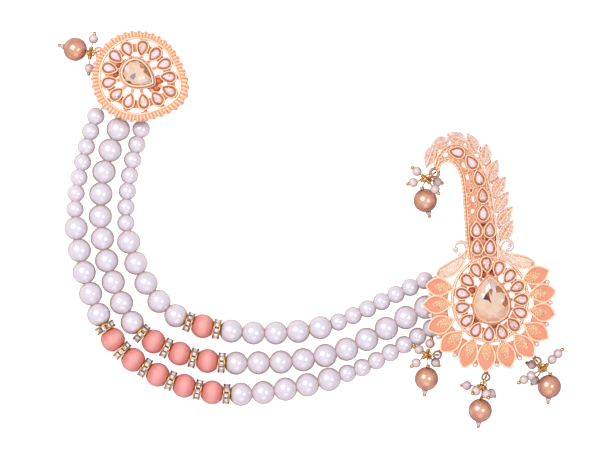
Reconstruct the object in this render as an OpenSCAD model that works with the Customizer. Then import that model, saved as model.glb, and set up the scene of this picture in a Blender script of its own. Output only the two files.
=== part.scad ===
// Turban ornament: a feather-shaped brooch and a small round brooch, joined by three strings of pearls.
// It lies face up. X runs to the right, Y towards the top of the feather, Z up from the surface,
// and the origin is on the surface, below the middle of the whole ornament.

/* [Plates] */
// Height of the backs of both plates, above the pearls that pass below them
plate_back = 8.3; // [8.2:0.1:9]
// Thickness of both cast plates
plate_t = 1.2; // [1:0.1:1.5]
// Height of the raised outlines above the plate
rim_h = 0.5; // [0.4:0.1:0.8]
// Width of the raised outlines
rim_w = 0.6; // [0.5:0.1:0.8]
// Wall of the settings round the stones
wall = 0.5; // [0.45:0.05:0.55]
// Height of the small settings above the plate
setting_h = 1; // [0.9:0.1:1.2]
// Height of the two main settings above the plate
main_setting_h = 1.8; // [1.5:0.1:2.2]

/* [Flower] */
// Half width of the ring round the flower's stones
ring_a = 12.5; // [12.4:0.1:12.8]
// Half height of that ring
ring_b = 14; // [13.9:0.1:14.3]
// Widest part of a petal
petal_w = 6.4; // [6.2:0.1:6.6]
// Widest part of a leaf of the stem
leaf_w = 4.6; // [4.4:0.1:4.8]

/* [Round brooch] */
// Number of scallops round its rim
scallops = 38; // [34:1:42]
// Depth of a scallop
scallop_h = 0.7; // [0.5:0.1:0.8]

/* [Stones] */
// Width of the flower's main stone
main_w = 11; // [10.6:0.1:11.2]
// Length of the flower's main stone
main_l = 14.5; // [14:0.1:14.8]
// Width of the round brooch's main stone
round_main_w = 8.2; // [7.8:0.1:8.4]
// Length of the round brooch's main stone
round_main_l = 10.6; // [10.2:0.1:10.8]
// Width of the small pear stones
stone_w = 3; // [2.8:0.1:3.1]
// Length of the small pear stones
stone_l = 4.4; // [4.2:0.1:4.6]
// Gap between a stone and its setting
stone_gap = 0.08; // [0.05:0.01:0.1]

/* [Strings] */
// Diameter of the large pearls
large_d = 7.9; // [7.7:0.1:8]
// Diameter of the small pearls
small_d = 5.9; // [5.6:0.1:6]
// Diameter of the frosted rose beads
rose_d = 8.1; // [7.9:0.1:8.2]
// Diameter of the spacers set with stones
spacer_d = 7; // [6.6:0.1:7.2]
// Diameter of the bores through the loose beads
bead_bore = 1.7; // [1.6:0.1:1.9]
// Diameter of the thread
thread_d = 0.8; // [0.7:0.1:0.9]

/* [Drops] */
// Diameter of the metallic ball of a drop
ball_d = 7.9; // [7.7:0.1:8.1]
// Diameter of a drop's small beads
seed_d = 3; // [2.8:0.1:3.2]
// Diameter of the knob that ends each head pin
knob_d = 1.3; // [1.1:0.1:1.4]
// Diameter of the wire of the head pins
pin_d = 0.45; // [0.4:0.05:0.55]
// Diameter of the wire of the jump rings
ring_wire = 0.64; // [0.6:0.02:0.7]

/* [Pin fittings] */
// Length of the fitting behind the stem of the feather
feather_fitting_l = 24; // [22:1:26]
// Length of the fitting behind the round brooch
round_fitting_l = 13; // [12:0.5:14]
// Width of the feet of the feather's fitting
feather_foot_w = 6; // [5:1:7]
// Width of the feet of the round brooch's fitting
round_foot_w = 5; // [4:0.5:5.5]
// Diameter of the pins
fitting_pin_d = 1.2; // [1:0.1:1.4]

/* [Hidden] */
STRINGS = ["outer", "middle", "inner"];
DROPS = ["left_drop", "bottom_drop", "right_drop", "hook_drop", "side_drop"];
ROSES = [5, 3, 1];

$fn = 32;
ROSE_GOLD = "#eba888";
GOLD = "#d9a950";
PEARL = "#eee6ef";
ROSE = "#f2968f";
CRYSTAL = "#cfae94";
OPAL = "#e6cddd";
COPPER = "#c97a5e";
STEEL = "#c9b08e";

// Puts the middle of the ornament's box on the origin
CENTRE = [0.24, 0.53];
// How far stacked layers run into each other, so that they join
BITE = 0.3;
// Raised outlines stop this far inside the plate's edge
STEP_IN = 0.1;
plate_top = plate_back + plate_t;

// The flower
FLOWER = [59.5, -23.7];
MAIN_AT = [59.9, -23.9];
MAIN_TURN = 4;

// Petals of the flower: root x, root y, tip x, tip y
PETALS = [
    [47.9, -20.1, 37.8, -19.2], [47.4, -25.5, 36.9, -25.5], [48.1, -30.3, 38.5, -33.8], [50.8, -33.9, 42.9, -41.2],
    [54.4, -36, 50.4, -46.9], [58.6, -36.7, 57.9, -48.2], [63.1, -36.5, 66.3, -47], [67.2, -34.7, 74.1, -43.3],
    [70.3, -31.6, 79.1, -36.9], [71.9, -27.1, 81.5, -28.9], [71.6, -22.5, 81.7, -21], [69.5, -17.9, 79.4, -14]];

// Small stones of the flower, from the top round to the right: x, y
FLOWER_STONES = [
    [58.3, -12.1], [62.4, -13.6], [65.9, -16.1], [68.4, -19.7], [69.7, -23.8], [69.4, -28.1], [67.2, -32.1],
    [63.4, -34.6], [59.1, -35.2], [54.9, -33.9], [51.9, -30.7], [50.4, -26.5], [50.5, -21.9], [52.1, -17.6],
    [54.9, -14.2]];

// Stones of the stem: x, y, direction of the tip
STEM_STONES = [
    [48.4, 25.2, 170], [53.3, 21.9, 126], [55.8, 16.6, 104], [57, 10.8, 94], [57.2, 4.9, 90],
    [55, -0.6, 92], [59.4, -0.6, 88], [55.2, -6.4, 92], [59.5, -6.4, 88]];

// Edges of the stem, from the flower round to the end of the hook: x, y
STEM_INNER = [[52.4, -11], [51.4, -5], [51, 1], [50.6, 7], [50.1, 13], [49.3, 17.6],
              [47.6, 20.8], [45.3, 21.9], [43.4, 21], [42.6, 19]];
STEM_OUTER = [[62.4, -11], [62.1, -4], [61.4, 4], [60.4, 11], [58.5, 17.4], [55.6, 23],
              [51.8, 26.8], [48, 28.3], [44.6, 27.2], [42, 24.6], [40.6, 21]];

// Small windows through the stem: x, y, width, height, turn
STEM_WINDOWS = [
    [45.8, 28.5, 1.8, 1.6, 30], [51.2, 28.3, 1.4, 1.7, 0], [41.4, 25.6, 1.5, 1.6, 0], [44.6, 24.4, 1.6, 1.3, 20],
    [50.8, 20.9, 1.2, 2, 20], [51.9, 16.9, 0.9, 1.8, 10], [58.6, 21.2, 1, 1.6, 20], [53.9, 9.6, 1, 2, 4],
    [59.3, 8.6, 0.8, 2, 8], [53.6, 5.6, 1, 1.3, 0], [62.3, 11.4, 1, 1.2, 0], [62.8, 6, 1, 1.2, 0],
    [62.7, 0.9, 0.9, 2, -10], [57.2, -3.7, 0.9, 1.2, 0],
    [53.2, 12.5, 0.8, 1.1, 0], [60.1, 5.4, 0.7, 1.3, 5]];

// Leaves along the stem: root x, root y, tip x, tip y
LEAVES = [
    [62.6, -5, 67.2, 2.7], [61.6, 0.6, 67.2, 7.4], [60.9, 5.2, 65.9, 12.3], [60.2, 10.2, 64.8, 17.4],
    [58.9, 15.4, 61.9, 23], [57.4, 20.6, 58.2, 28.4], [55.2, 24.6, 51.8, 31.8], [51.6, 28.6, 44.8, 31.4],
    [46.2, 29.2, 39.4, 27.2], [41.1, 27.8, 38.2, 19.9]];

// The two paisleys beside the stem: x, y, width
PAISLEY_LEFT = [[41.6, -15.5, 1.6], [43.4, -15, 4.2], [46.4, -13.6, 4.9], [49.1, -11.4, 3.9], [51.1, -9, 2.2],
                [51.9, -6.9, 1.4], [50.9, -5, 1.1], [49.2, -4.7, 1], [47.7, -5.7, 1], [47.6, -7.3, 1],
                [48.7, -8.1, 0.9]];
PAISLEY_RIGHT = [[74.4, -12.1, 1.8], [72, -11.6, 4.2], [69, -11, 4.7], [65.9, -10.1, 3.8], [63.7, -8.5, 2.4],
                 [62.8, -6.6, 1.5], [63.4, -4.8, 1.1], [65.1, -4.1, 1], [66.6, -4.9, 1], [66.9, -6.5, 1],
                 [65.9, -7.5, 0.9]];

// A point in the end of the hook, which the eyelet there hangs from
HOOK_TIP = [42.3, 22];

// The round brooch
ROUND = [-57.4, 51];
ROUND_TIP = -25;
// The opening's size in the brooch's own
ROUND_OPEN = 0.8;
ROUND_MAIN_AT = [-57.7, 51.1];
ROUND_MAIN_TURN = -30;

// Small stones of the round brooch, from the top round to the right: x, y
ROUND_STONES = [
    [-61.3, 59.5], [-56.3, 59.9], [-52.2, 57.8], [-49.2, 54.5], [-47.7, 50.3], [-47.4, 45.7], [-51.4, 43.2],
    [-55.9, 42.2], [-60.8, 42.4], [-64.9, 44.6], [-67.3, 48.5], [-67.3, 53.2], [-65.2, 57.1]];

// Middles of the pin fittings, behind the stem of the feather and behind the main stone of the round brooch
FEATHER_FITTING = [56.4, 3.4];
ROUND_FITTING = [-57.9, 51.2];

// Lugs below the plates that the strings' end loops go round: left end, right end
LUGS = [[[-68.5, 42], [46, -31]], [[-61.5, 40.5], [44, -25.5]], [[-56, 37.5], [44, -15.5]]];
lug_z = 4.6;
lug_r = 0.6;
loop_r = 1.1;
loop_wire = 0.7;

// Routes of the strings between their lugs: x, y
OUTER_ROUTE = [LUGS[0][0], [-72, 37.5], [-76.5, 22], [-79, 6], [-76, -14.5], [-69, -33], [-59.5, -44],
               [-43, -52.5], [-24.5, -55.5], [-2, -52.5], [16, -47], [30, -39.5], [40, -33.5], LUGS[0][1]];
MIDDLE_ROUTE = [LUGS[1][0], [-64.5, 33], [-69, 20], [-70.5, 4], [-67.5, -14], [-59.5, -32], [-48.5, -40],
                [-34, -44.5], [-18, -45], [-3, -44], [11.5, -40.5], [25, -33.5], [38, -26.5], LUGS[1][1]];
INNER_ROUTE = [LUGS[2][0], [-57, 32.5], [-60.5, 19], [-62, 2], [-58.5, -12], [-50.5, -25], [-40.5, -31.5],
               [-26, -34.5], [-11, -35], [4, -33], [15.5, -28.5], [29.5, -21.5], [39, -17], LUGS[2][1]];
ROUTES = [OUTER_ROUTE, MIDDLE_ROUTE, INNER_ROUTE];
// Bare thread between each left lug and its first bead
LEAD = [3.3, 4.4, 1.9];

// Kinds of bead, and for each kind the length that it takes on the thread
SMALL = 0;
LARGE = 1;
ROSE_BEAD = 2;
SPACER = 3;
PITCH = [5.32, 7.48, 7.45, 2.15];
REST_Z = [small_d / 2, large_d / 2, rose_d / 2, rose_d / 2];
bead_gap = 0.36;

// Runs of beads on each string: kind, count
PATTERNS = [
    concat([[SMALL, 7], [LARGE, 5]], rose_run(ROSES[0]), [[LARGE, 5], [SMALL, 7]]),
    concat([[LARGE, 10]], rose_run(ROSES[1]), [[LARGE, 10]]),
    concat([[SMALL, 7], [LARGE, 5]], rose_run(ROSES[2]), [[LARGE, 5], [SMALL, 7]])];

// Drops: eyelet x, y; far side of the jump ring x, y; ball x, y; direction of its knob
DROP_PLACES = [
    [41.9, -42.3, 39.3, -42.3, 38.4, -50.3, -97],
    [58.1, -49.7, 57.3, -52.1, 56.3, -60.9, -96],
    [75.2, -44.4, 76.9, -46.2, 79.4, -52.9, -94],
    [41, 18.3, 38.9, 16.8, 38, 9.2, -75],
    [-70.9, 58.9, -73.1, 58.5, -78.9, 59.7, 166]];

// Small beads of each drop: x, y, z, how many on the pin
DROP_BEADS = [
    [[39.6, -38.6, 4.6, 1], [35.9, -40.6, 5.2, 1], [34.9, -45, 6.4, 1], [41.4, -44.9, 3.4, 1]],
    [[51.9, -52.6, 2.8, 1], [54.8, -54.3, 8.6, 1], [60, -55.2, 3.2, 1], [58.3, -55.3, 8.4, 1]],
    [[80.3, -43.9, 5.2, 2], [73.6, -45.6, 3.6, 1], [73.2, -49.2, 7.2, 2], [74.6, -50.9, 2, 1]],
    [[35.2, 18.9, 5, 1], [34, 15.2, 5.2, 1], [42, 15.4, 3.6, 1], [41.2, 12.9, 7.8, 1]],
    [[-72.8, 63.1, 4.8, 1], [-74.2, 53.3, 4.8, 1]]];
ring_far_z = 6.8;
carrier_r = 1.05;
knot_d = 1.2;
PIN_SLOPE = 18;
eyelet_r = 1.55;
eyelet_hole = 1.8;
eyelet_t = 0.8;
tab_l = 3.2;
tab_w = 1.6;
petal_knob_r = 0.75;
knob_stem_w = 1;
knob_stem_l = 4.5;
spoke_w = 1.1;
// Half width of the ring round the flower's stones
ring_half_w = 0.5;
// Wall of the main settings, and how far the plates reach outside the main stones
main_wall = 0.6;
main_margin = 0.95;
round_margin = 1.3;
// How far the plates reach outside the small stones of a ring, so that their settings join
small_margin = 0.8;
// The webs that join these settings: how far inside the ring their outer and their inner edge lie
FLOWER_WEB = [1.9, 4.2];
ROUND_WEB = [1.5, 4.2];
// How far a spoke reaches to each side of its stone's middle
spoke_reach = 4.1;
// How far the knobs between the petals lie inside the line from tip to tip
knob_in = 2;
// The bead on a ball's pin and the knob behind it: the bead's diameter, and both distances out of the ball
tail_bead_d = 1.9;
tail_out = 0.82;
knob_out = 1.75;

// Kinds of curve

// A point of the smooth curve through p, at the share u of the way from point i to the next
function between(p, i, u) =
    let (a = p[max(i - 1, 0)], b = p[i], c = p[i + 1], d = p[min(i + 2, len(p) - 1)])
    0.5 * (2 * b + (c - a) * u + (2 * a - 5 * b + 4 * c - d) * u * u + (3 * b - a - 3 * c + d) * u * u * u);

// The smooth curve through p, with n steps between each two points
function smooth(p, n) =
    concat([for (i = [0:len(p) - 2]) for (j = [0:n - 1]) between(p, i, j / n)], [p[len(p) - 1]]);

function reversed(p) = [for (i = [len(p) - 1:-1:0]) p[i]];

// Length of the curve up to each of its points
function lengths(p) =
    [for (i = 0, s = 0; i < len(p); s = s + (i < len(p) - 1 ? norm(p[i + 1] - p[i]) : 0), i = i + 1) s];

// The point at length s along the curve p, whose lengths are c
function at_length(p, c, s) =
    [for (k = [0, 1]) lookup(s, [for (i = [0:len(p) - 1]) [c[i], p[i][k]]])];

// Outline of a band along the points p, each with x, y and the band's width there
function band(p) =
    let (n = len(p) - 1,
         ahead = [for (i = [0:n]) let (d = p[min(i + 1, n)] - p[max(i - 1, 0)]) [d.x, d.y] / norm([d.x, d.y])],
         side = [for (i = [0:n]) [-ahead[i].y, ahead[i].x] * p[i][2] / 2])
    concat([for (i = [0:n]) [p[i].x, p[i].y] + side[i]], [for (i = [n:-1:0]) [p[i].x, p[i].y] - side[i]]);

// How wide the sine of a pear comes out, before it is scaled to its width
function pear_peak(k) = let (t = acos(-k / (2 + k))) sin(t) * pow(sin(t / 2), k);

// Outline of a pear with its tip towards +Y, whose sides narrow more as k grows
function pear(w, l, k = 0.7, n = 16) =
    [for (i = [0:n - 1]) let (t = 360 * i / n)
        [w / 2 / pear_peak(k) * sin(t) * pow(abs(sin(t / 2)), k), l / 2 * cos(t)]];

// Half width of a pointed blade at the share t of its length, widest nearer the tip as k grows past 1
// and sharper as e grows
function blade_half(t, w, k, e) = w / 2 * pow(sin(180 * pow(t, k)), e);

// Outline of a pointed blade from the origin to [l, 0]
function blade(w, l, k, e, n = 9) =
    concat([for (i = [0:n]) [l * i / n, blade_half(i / n, w, k, e)]],
           [for (i = [n - 1:-1:1]) [l * i / n, -blade_half(i / n, w, k, e)]]);

function direction(v) = atan2(v.y, v.x);

// A point the given distance past a, on the way to b
function past(a, b, distance) = a + distance * (b - a) / norm(b - a);

// Strings of beads

function rose_run(n) = concat([for (i = [1:n]) each [[SPACER, 1], [ROSE_BEAD, 1]]], [[SPACER, 1]]);

function kinds(s) = [for (run = PATTERNS[s]) for (i = [1:run[1]]) run[0]];

// Start of each bead along the thread
function starts(k, lead) = [for (i = 0, s = lead; i < len(k); s = s + PITCH[k[i]], i = i + 1) s];

// Every bead of string s: kind, centre x, y, z, heading
function beads(s) =
    let (p = smooth(ROUTES[s], 12), c = lengths(p), k = kinds(s), from = starts(k, LEAD[s]))
    [for (i = [0:len(k) - 1])
        let (m = from[i] + PITCH[k[i]] / 2, here = at_length(p, c, m),
             way = at_length(p, c, m + 0.5) - at_length(p, c, m - 0.5))
        [k[i], here.x, here.y, REST_Z[k[i]], direction(way)]];

// The beads of one kind on string s
function of_kind(s, kind) = [for (b = beads(s)) if (b[0] == kind) b];

function centre_of(b) = [b[1], b[2], b[3]];
function heading(b) = [cos(b[4]), sin(b[4]), 0];

// Small shapes

module ellipse(a, b, n = 48) {
    scale([a, b]) circle(1, $fn = n);
}

// A round rod between two points
module rod(a, b, d) {
    v = b - a;
    translate(a) rotate([0, acos(v.z / norm(v)), direction(v)]) cylinder(h = norm(v), d = d);
}

// A ball on a pin or thread that runs the given way, with its seam beside the way
module ball_on(at, way, d, n = 24) {
    translate(at) rotate([0, -asin(way.z / norm(way)), direction(way)]) rotate(90) sphere(d = d, $fn = n);
}

// A wire ring lying flat, or with its axis along the given direction
module wire_ring(at, r, d, axis = [0, 0, 1]) {
    translate(at) rotate([0, acos(axis.z / norm(axis)), direction(axis)]) rotate(50)
        rotate_extrude() translate([r, 0]) rotate(50) circle(d = d, $fn = 24);
}

// A slab of the drawing below, from height z0 to z1, whose zero offset makes the drawing one outline
module slab(z0, z1) {
    translate([0, 0, z0]) linear_extrude(z1 - z0) offset(delta = 0) children();
}

// The drawing below with its narrow cracks closed
module closed() {
    offset(delta = -0.15) offset(delta = 0.15) children();
}

// Puts a part at its place about the origin
module placed() {
    translate([CENTRE.x, CENTRE.y, 0]) children();
}

// A stone with a flat back, a straight girdle and a sloping crown round a flat table
module cut_stone(at, turn, w, l, girdle, crown, n = 12) {
    levels = [[0.94, 0], [1, girdle * 0.4], [1, girdle], [0.62, girdle + crown]];
    points = [for (v = levels) for (q = pear(w * v[0], l * v[0], 0.7, n)) [q.x, q.y, v[1]]];
    sides = [for (j = [0:len(levels) - 2]) for (i = [0:n - 1])
        [j * n + i, (j + 1) * n + i, (j + 1) * n + (i + 1) % n, j * n + (i + 1) % n]];
    bottom = [for (i = [0:n - 1]) i];
    top = [for (i = [n - 1:-1:0]) (len(levels) - 1) * n + i];
    translate([at.x, at.y, plate_top + stone_gap]) rotate(turn - 90)
        polyhedron(points, concat(sides, [bottom, top]), convexity = 4);
}

// The feather brooch

// Seats of small stones: x, y, direction of the tip, which points to the main stone
function seats(places, main) = [for (at = places) [at.x, at.y, direction(main - at)]];

flower_seats = seats(FLOWER_STONES, MAIN_AT);

// A blade from the root to the tip in row
module laid_blade(row, w, k, e) {
    way = [row[2] - row[0], row[3] - row[1]];
    translate([row[0], row[1]]) rotate(direction(way)) polygon(blade(w, norm(way), k, e));
}

module petal(row, inset = 0) {
    offset(delta = -inset) laid_blade(row, petal_w, 1.2, 0.8);
}

module leaf(row, inset = 0) {
    offset(delta = -inset) laid_blade(row, leaf_w, 0.85, 0.95);
}

module paisley(rows, inset = 0) {
    offset(delta = -inset) polygon(band(smooth(rows, 3)));
}

// The pear outline of a small stone's seat, grown by the given margin
module seat(row, grow = 0) {
    translate([row.x, row.y]) rotate(row[2] - 90)
        polygon(pear(stone_w + 2 * grow, stone_l + 2 * grow));
}

module main_seat(at, turn, w, l, grow = 0) {
    translate(at) rotate(turn) polygon(pear(w + 2 * grow, l + 2 * grow, 0.7, 24));
}

module flower_main_seat(grow = 0) {
    main_seat(MAIN_AT, MAIN_TURN, main_w, main_l, grow);
}

module stem_outline(inset = 0) {
    offset(delta = -inset) polygon(concat(smooth(STEM_INNER, 3), reversed(smooth(STEM_OUTER, 3))));
}

module stem_windows() {
    for (w = STEM_WINDOWS) translate([w[0], w[1]]) rotate(w[4]) ellipse(w[2] / 2, w[3] / 2, 10);
}

// The narrow bars that carry the small stones between a main setting and its ring
module spokes(rows) {
    for (row = rows) translate([row.x, row.y]) rotate(row[2]) square([2 * spoke_reach, spoke_w], center = true);
}

// A ring that follows the flower's, between two distances outside it
module flower_ring(outside, inside) {
    translate(FLOWER) difference() {
        ellipse(ring_a + outside, ring_b + outside);
        ellipse(ring_a + inside, ring_b + inside);
    }
}

// The knob between each two petal tips, on a short stem that grows out between the petals
module petal_knobs() {
    for (i = [0:len(PETALS) - 2]) {
        middle = [PETALS[i][2] + PETALS[i + 1][2], PETALS[i][3] + PETALS[i + 1][3]] / 2;
        translate(past(middle, FLOWER, knob_in)) {
            circle(petal_knob_r, $fn = 10);
            rotate(direction(FLOWER - middle)) translate([0, -knob_stem_w / 2]) square([knob_stem_l, knob_stem_w]);
        }
    }
}

module eyelets(rows, d) {
    for (i = rows) translate([DROP_PLACES[i][0], DROP_PLACES[i][1]]) circle(d = d, $fn = 24);
}

module feather_silhouette() {
    difference() {
        closed() {
            flower_ring(ring_half_w, -ring_half_w);
            flower_ring(-FLOWER_WEB[0], -FLOWER_WEB[1]);
            intersection() {
                spokes(flower_seats);
                translate(FLOWER) ellipse(ring_a, ring_b);
            }
            for (row = flower_seats) seat(row, small_margin);
            flower_main_seat(main_margin);
            for (row = PETALS) petal(row);
            petal_knobs();
            stem_outline();
            for (row = LEAVES) leaf(row);
            paisley(PAISLEY_LEFT);
            paisley(PAISLEY_RIGHT);
        }
        stem_windows();
    }
}

module feather_outlines() {
    intersection() {
        offset(delta = -STEP_IN) feather_silhouette();
        union() {
            flower_ring(rim_w / 2, -rim_w / 2);
            for (row = PETALS) difference() {
                petal(row);
                petal(row, rim_w);
            }
            for (row = LEAVES) difference() {
                leaf(row);
                leaf(row, rim_w);
            }
            difference() {
                stem_outline();
                stem_outline(rim_w);
            }
            for (rows = [PAISLEY_LEFT, PAISLEY_RIGHT]) difference() {
                paisley(rows);
                paisley(rows, rim_w);
            }
        }
    }
}

// The walls round all the seats in rows, with every seat left open
module seat_walls(rows) {
    difference() {
        closed() for (row = rows) seat(row, wall);
        for (row = rows) seat(row);
    }
}

// A post below the plate, with a head that keeps a string's loop on it
module lug(at) {
    below = 1.4;
    head_h = 0.5;
    head_r = loop_r + 0.2;
    translate([at.x, at.y, lug_z - below + head_h / 2])
        cylinder(h = plate_back + BITE - lug_z + below - head_h / 2, r = lug_r);
    translate([at.x, at.y, lug_z - below]) cylinder(h = head_h, r = head_r);
}

// Thin tabs with a hole, at the plate's edge, for the drops' jump rings, that point to the plate's middle
module eyelet_slab(rows, middle) {
    slab(plate_back, plate_back + eyelet_t) difference() {
        union() {
            eyelets(rows, 2 * eyelet_r);
            for (i = rows) let (at = [DROP_PLACES[i][0], DROP_PLACES[i][1]])
                translate(at) rotate(direction(middle - at)) translate([0, -tab_w / 2]) square([tab_l, tab_w]);
        }
        eyelets(rows, eyelet_hole);
    }
}

module feather_plate() {
    color(ROSE_GOLD) placed() union() {
        slab(plate_back, plate_top) difference() {
            feather_silhouette();
            eyelets([0:3], 2 * eyelet_r - 0.2);
        }
        slab(plate_top - BITE, plate_top + rim_h) difference() {
            feather_outlines();
            for (row = concat(flower_seats, STEM_STONES)) seat(row);
            eyelets([0:3], 2 * eyelet_r + 0.1);
        }
        slab(plate_top - BITE, plate_top + setting_h) seat_walls(concat(flower_seats, STEM_STONES));
        slab(plate_top - BITE, plate_top + main_setting_h) difference() {
            flower_main_seat(main_wall);
            flower_main_seat();
        }
        eyelet_slab([0:2], FLOWER);
        eyelet_slab([3], HOOK_TIP);
        for (s = [0:2]) lug(LUGS[s][1]);
    }
}

module feather_main_stone() {
    color(CRYSTAL) placed()
        cut_stone(MAIN_AT, 90 + MAIN_TURN, main_w - 2 * stone_gap, main_l - 2 * stone_gap, 1.9, 1.9, 24);
}

module small_stones(rows) {
    for (row = rows)
        cut_stone([row.x, row.y], row[2], stone_w - 2 * stone_gap, stone_l - 2 * stone_gap, 0.9, 0.7);
}

module flower_small_stones() {
    color(OPAL) placed() small_stones(flower_seats);
}

module stem_small_stones() {
    color(OPAL) placed() small_stones(STEM_STONES);
}

// The round brooch

// Distance from the round brooch's middle to its edge, in direction a
function round_reach(a) =
    15.3 + 0.75 * cos(a - 215) + 2.9 * pow(max(0, cos(a - ROUND_TIP)), 8) + 0.5 * pow(max(0, cos(a + 142)), 6);

round_seats = seats(ROUND_STONES, ROUND_MAIN_AT);

module round_edge(inset = 0) {
    steps = scallops * 6;
    translate(ROUND) polygon([for (i = [0:steps - 1]) let (a = 360 * i / steps)
        (round_reach(a) - inset - scallop_h + scallop_h * abs(sin(a * scallops / 2))) * [cos(a), sin(a)]]);
}

module round_opening(grow = 0) {
    translate(ROUND) polygon([for (a = [0:5:355]) (ROUND_OPEN * round_reach(a) + grow) * [cos(a), sin(a)]]);
}

module round_main_seat(grow = 0) {
    main_seat(ROUND_MAIN_AT, ROUND_MAIN_TURN - 90, round_main_w, round_main_l, grow);
}

module round_silhouette() {
    closed() {
        difference() {
            round_edge();
            round_opening();
        }
        difference() {
            round_opening(-ROUND_WEB[0]);
            round_opening(-ROUND_WEB[1]);
        }
        spokes(round_seats);
        for (row = round_seats) seat(row, small_margin);
        round_main_seat(round_margin);
    }
}

module round_plate() {
    color(ROSE_GOLD) placed() union() {
        slab(plate_back, plate_top) difference() {
            round_silhouette();
            eyelets([4], 2 * eyelet_r - 0.2);
        }
        slab(plate_top - BITE, plate_top + rim_h) difference() {
            round_edge(0.4);
            round_opening(STEP_IN);
            for (row = round_seats) seat(row);
            eyelets([4], 2 * eyelet_r + 0.1);
        }
        slab(plate_top - BITE, plate_top + setting_h) seat_walls(round_seats);
        slab(plate_top - BITE, plate_top + main_setting_h) difference() {
            round_main_seat(main_wall);
            round_main_seat();
        }
        eyelet_slab([4], ROUND);
        for (s = [0:2]) lug(LUGS[s][0]);
    }
}

module round_main_stone() {
    color(CRYSTAL) placed()
        cut_stone(ROUND_MAIN_AT, ROUND_MAIN_TURN, round_main_w - 2 * stone_gap, round_main_l - 2 * stone_gap,
                  1.9, 1.5, 24);
}

module round_small_stones() {
    color(OPAL) placed() small_stones(round_seats);
}

// Pin fittings

// A bar on the plate's back with a post and a foot at each end, and the pin between the posts
module pin_fitting(at, turn, l, foot_w) {
    bar_w = 4;
    bar_t = 1;
    post_l = 2.4;
    post_w = 3.6;
    foot_l = 3.2;
    foot_t = 1;
    pin_z = 1.8;
    translate([at.x, at.y, 0]) rotate(turn) {
        translate([-l / 2, -bar_w / 2, plate_back - bar_t]) cube([l, bar_w, bar_t]);
        for (side = [-1, 1]) {
            translate([side * (l - post_l) / 2 - post_l / 2, -post_w / 2, foot_t / 2])
                cube([post_l, post_w, plate_back - bar_t]);
            translate([side * (l - foot_l) / 2 - foot_l / 2, -foot_w / 2, 0]) cube([foot_l, foot_w, foot_t]);
        }
        translate([-l / 2 + post_l / 2, 0, pin_z]) rotate([0, 90, 0])
            cylinder(h = l - post_l, d = fitting_pin_d);
    }
}

module feather_pin_fitting() {
    color(STEEL) placed() pin_fitting(FEATHER_FITTING, 92, feather_fitting_l, feather_foot_w);
}

module round_pin_fitting() {
    color(STEEL) placed() pin_fitting(ROUND_FITTING, ROUND_MAIN_TURN, round_fitting_l, round_foot_w);
}

// Strings of pearls

// The thread between two neighbouring beads, with a knot in each loose one so that the lengths join
module thread_between(a, b) {
    rod(centre_of(a), centre_of(b), thread_d);
    if (a[0] >= ROSE_BEAD) ball_on(centre_of(a), heading(a), thread_d + 0.4);
}

// The bare end of the thread, from a bead to the loop round a lug
module thread_end(b, at) {
    from = centre_of(b);
    middle = [at.x, at.y, lug_z];
    way = from - middle;
    flat = [way.x, way.y, 0] / norm([way.x, way.y]);
    rod(from, middle + loop_r * flat, thread_d);
    wire_ring(middle, loop_r, loop_wire);
}

module pearl_string(s) {
    b = beads(s);
    last = len(b) - 1;
    color(PEARL) placed() {
        for (bead = b) if (bead[0] <= LARGE)
            ball_on(centre_of(bead), heading(bead), bead[0] == SMALL ? small_d : large_d, 48);
        for (i = [0:last - 1]) if (b[i][0] >= ROSE_BEAD || b[i + 1][0] >= ROSE_BEAD)
            thread_between(b[i], b[i + 1]);
        thread_end(b[0], LUGS[s][0]);
        thread_end(b[last], LUGS[s][1]);
    }
}

// A frosted bead with a flat at each end of its bore
module rose_bead(b) {
    l = PITCH[ROSE_BEAD] - bead_gap;
    color(ROSE) placed() translate(centre_of(b)) rotate([0, 90, b[4]]) difference() {
        sphere(d = rose_d, $fn = 48);
        cylinder(h = 2 * l, d = bead_bore, center = true);
        for (side = [-1, 1]) translate([0, 0, side * l]) cube([rose_d, rose_d, l], center = true);
    }
}

// A spacer: two flanges on a hub, and a row of small square stones standing in the groove between them
module spacer(b) {
    l = PITCH[SPACER] - bead_gap;
    flange = 0.5;
    hub_r = spacer_d / 2 - 0.8;
    facets = 10;
    color(GOLD) placed() translate(centre_of(b)) rotate([0, 90, b[4]]) union() {
        rotate_extrude() polygon([
            [bead_bore / 2, -l / 2], [spacer_d / 2, -l / 2], [spacer_d / 2, flange - l / 2],
            [hub_r, flange - l / 2], [hub_r, l / 2 - flange], [spacer_d / 2, l / 2 - flange],
            [spacer_d / 2, l / 2], [bead_bore / 2, l / 2]]);
        for (i = [0:facets - 1]) rotate(360 * i / facets)
            translate([hub_r - 0.3, -0.65, -l / 2 + 0.1]) cube([0.9, 1.3, l - 0.2]);
    }
}

// Drops

// The near side of drop d's jump ring, over its eyelet, and its far side
function ring_near(d) = [DROP_PLACES[d][0], DROP_PLACES[d][1], plate_back + eyelet_t + 0.1];
function ring_far(d) = [DROP_PLACES[d][2], DROP_PLACES[d][3], ring_far_z];
function ring_middle(d) = (ring_near(d) + ring_far(d)) / 2;
function ring_r(d) = norm(ring_far(d) - ring_near(d)) / 2;

// The jump ring stands in the upright plane through its near and far side
function ring_axis(d) = let (v = cross([0, 0, 1], ring_far(d) - ring_near(d))) v / norm(v);

// The knot outside the jump ring, where all of a drop's pins start
function knot(d) = past(ring_far(d), ring_near(d), -carrier_r);

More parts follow.
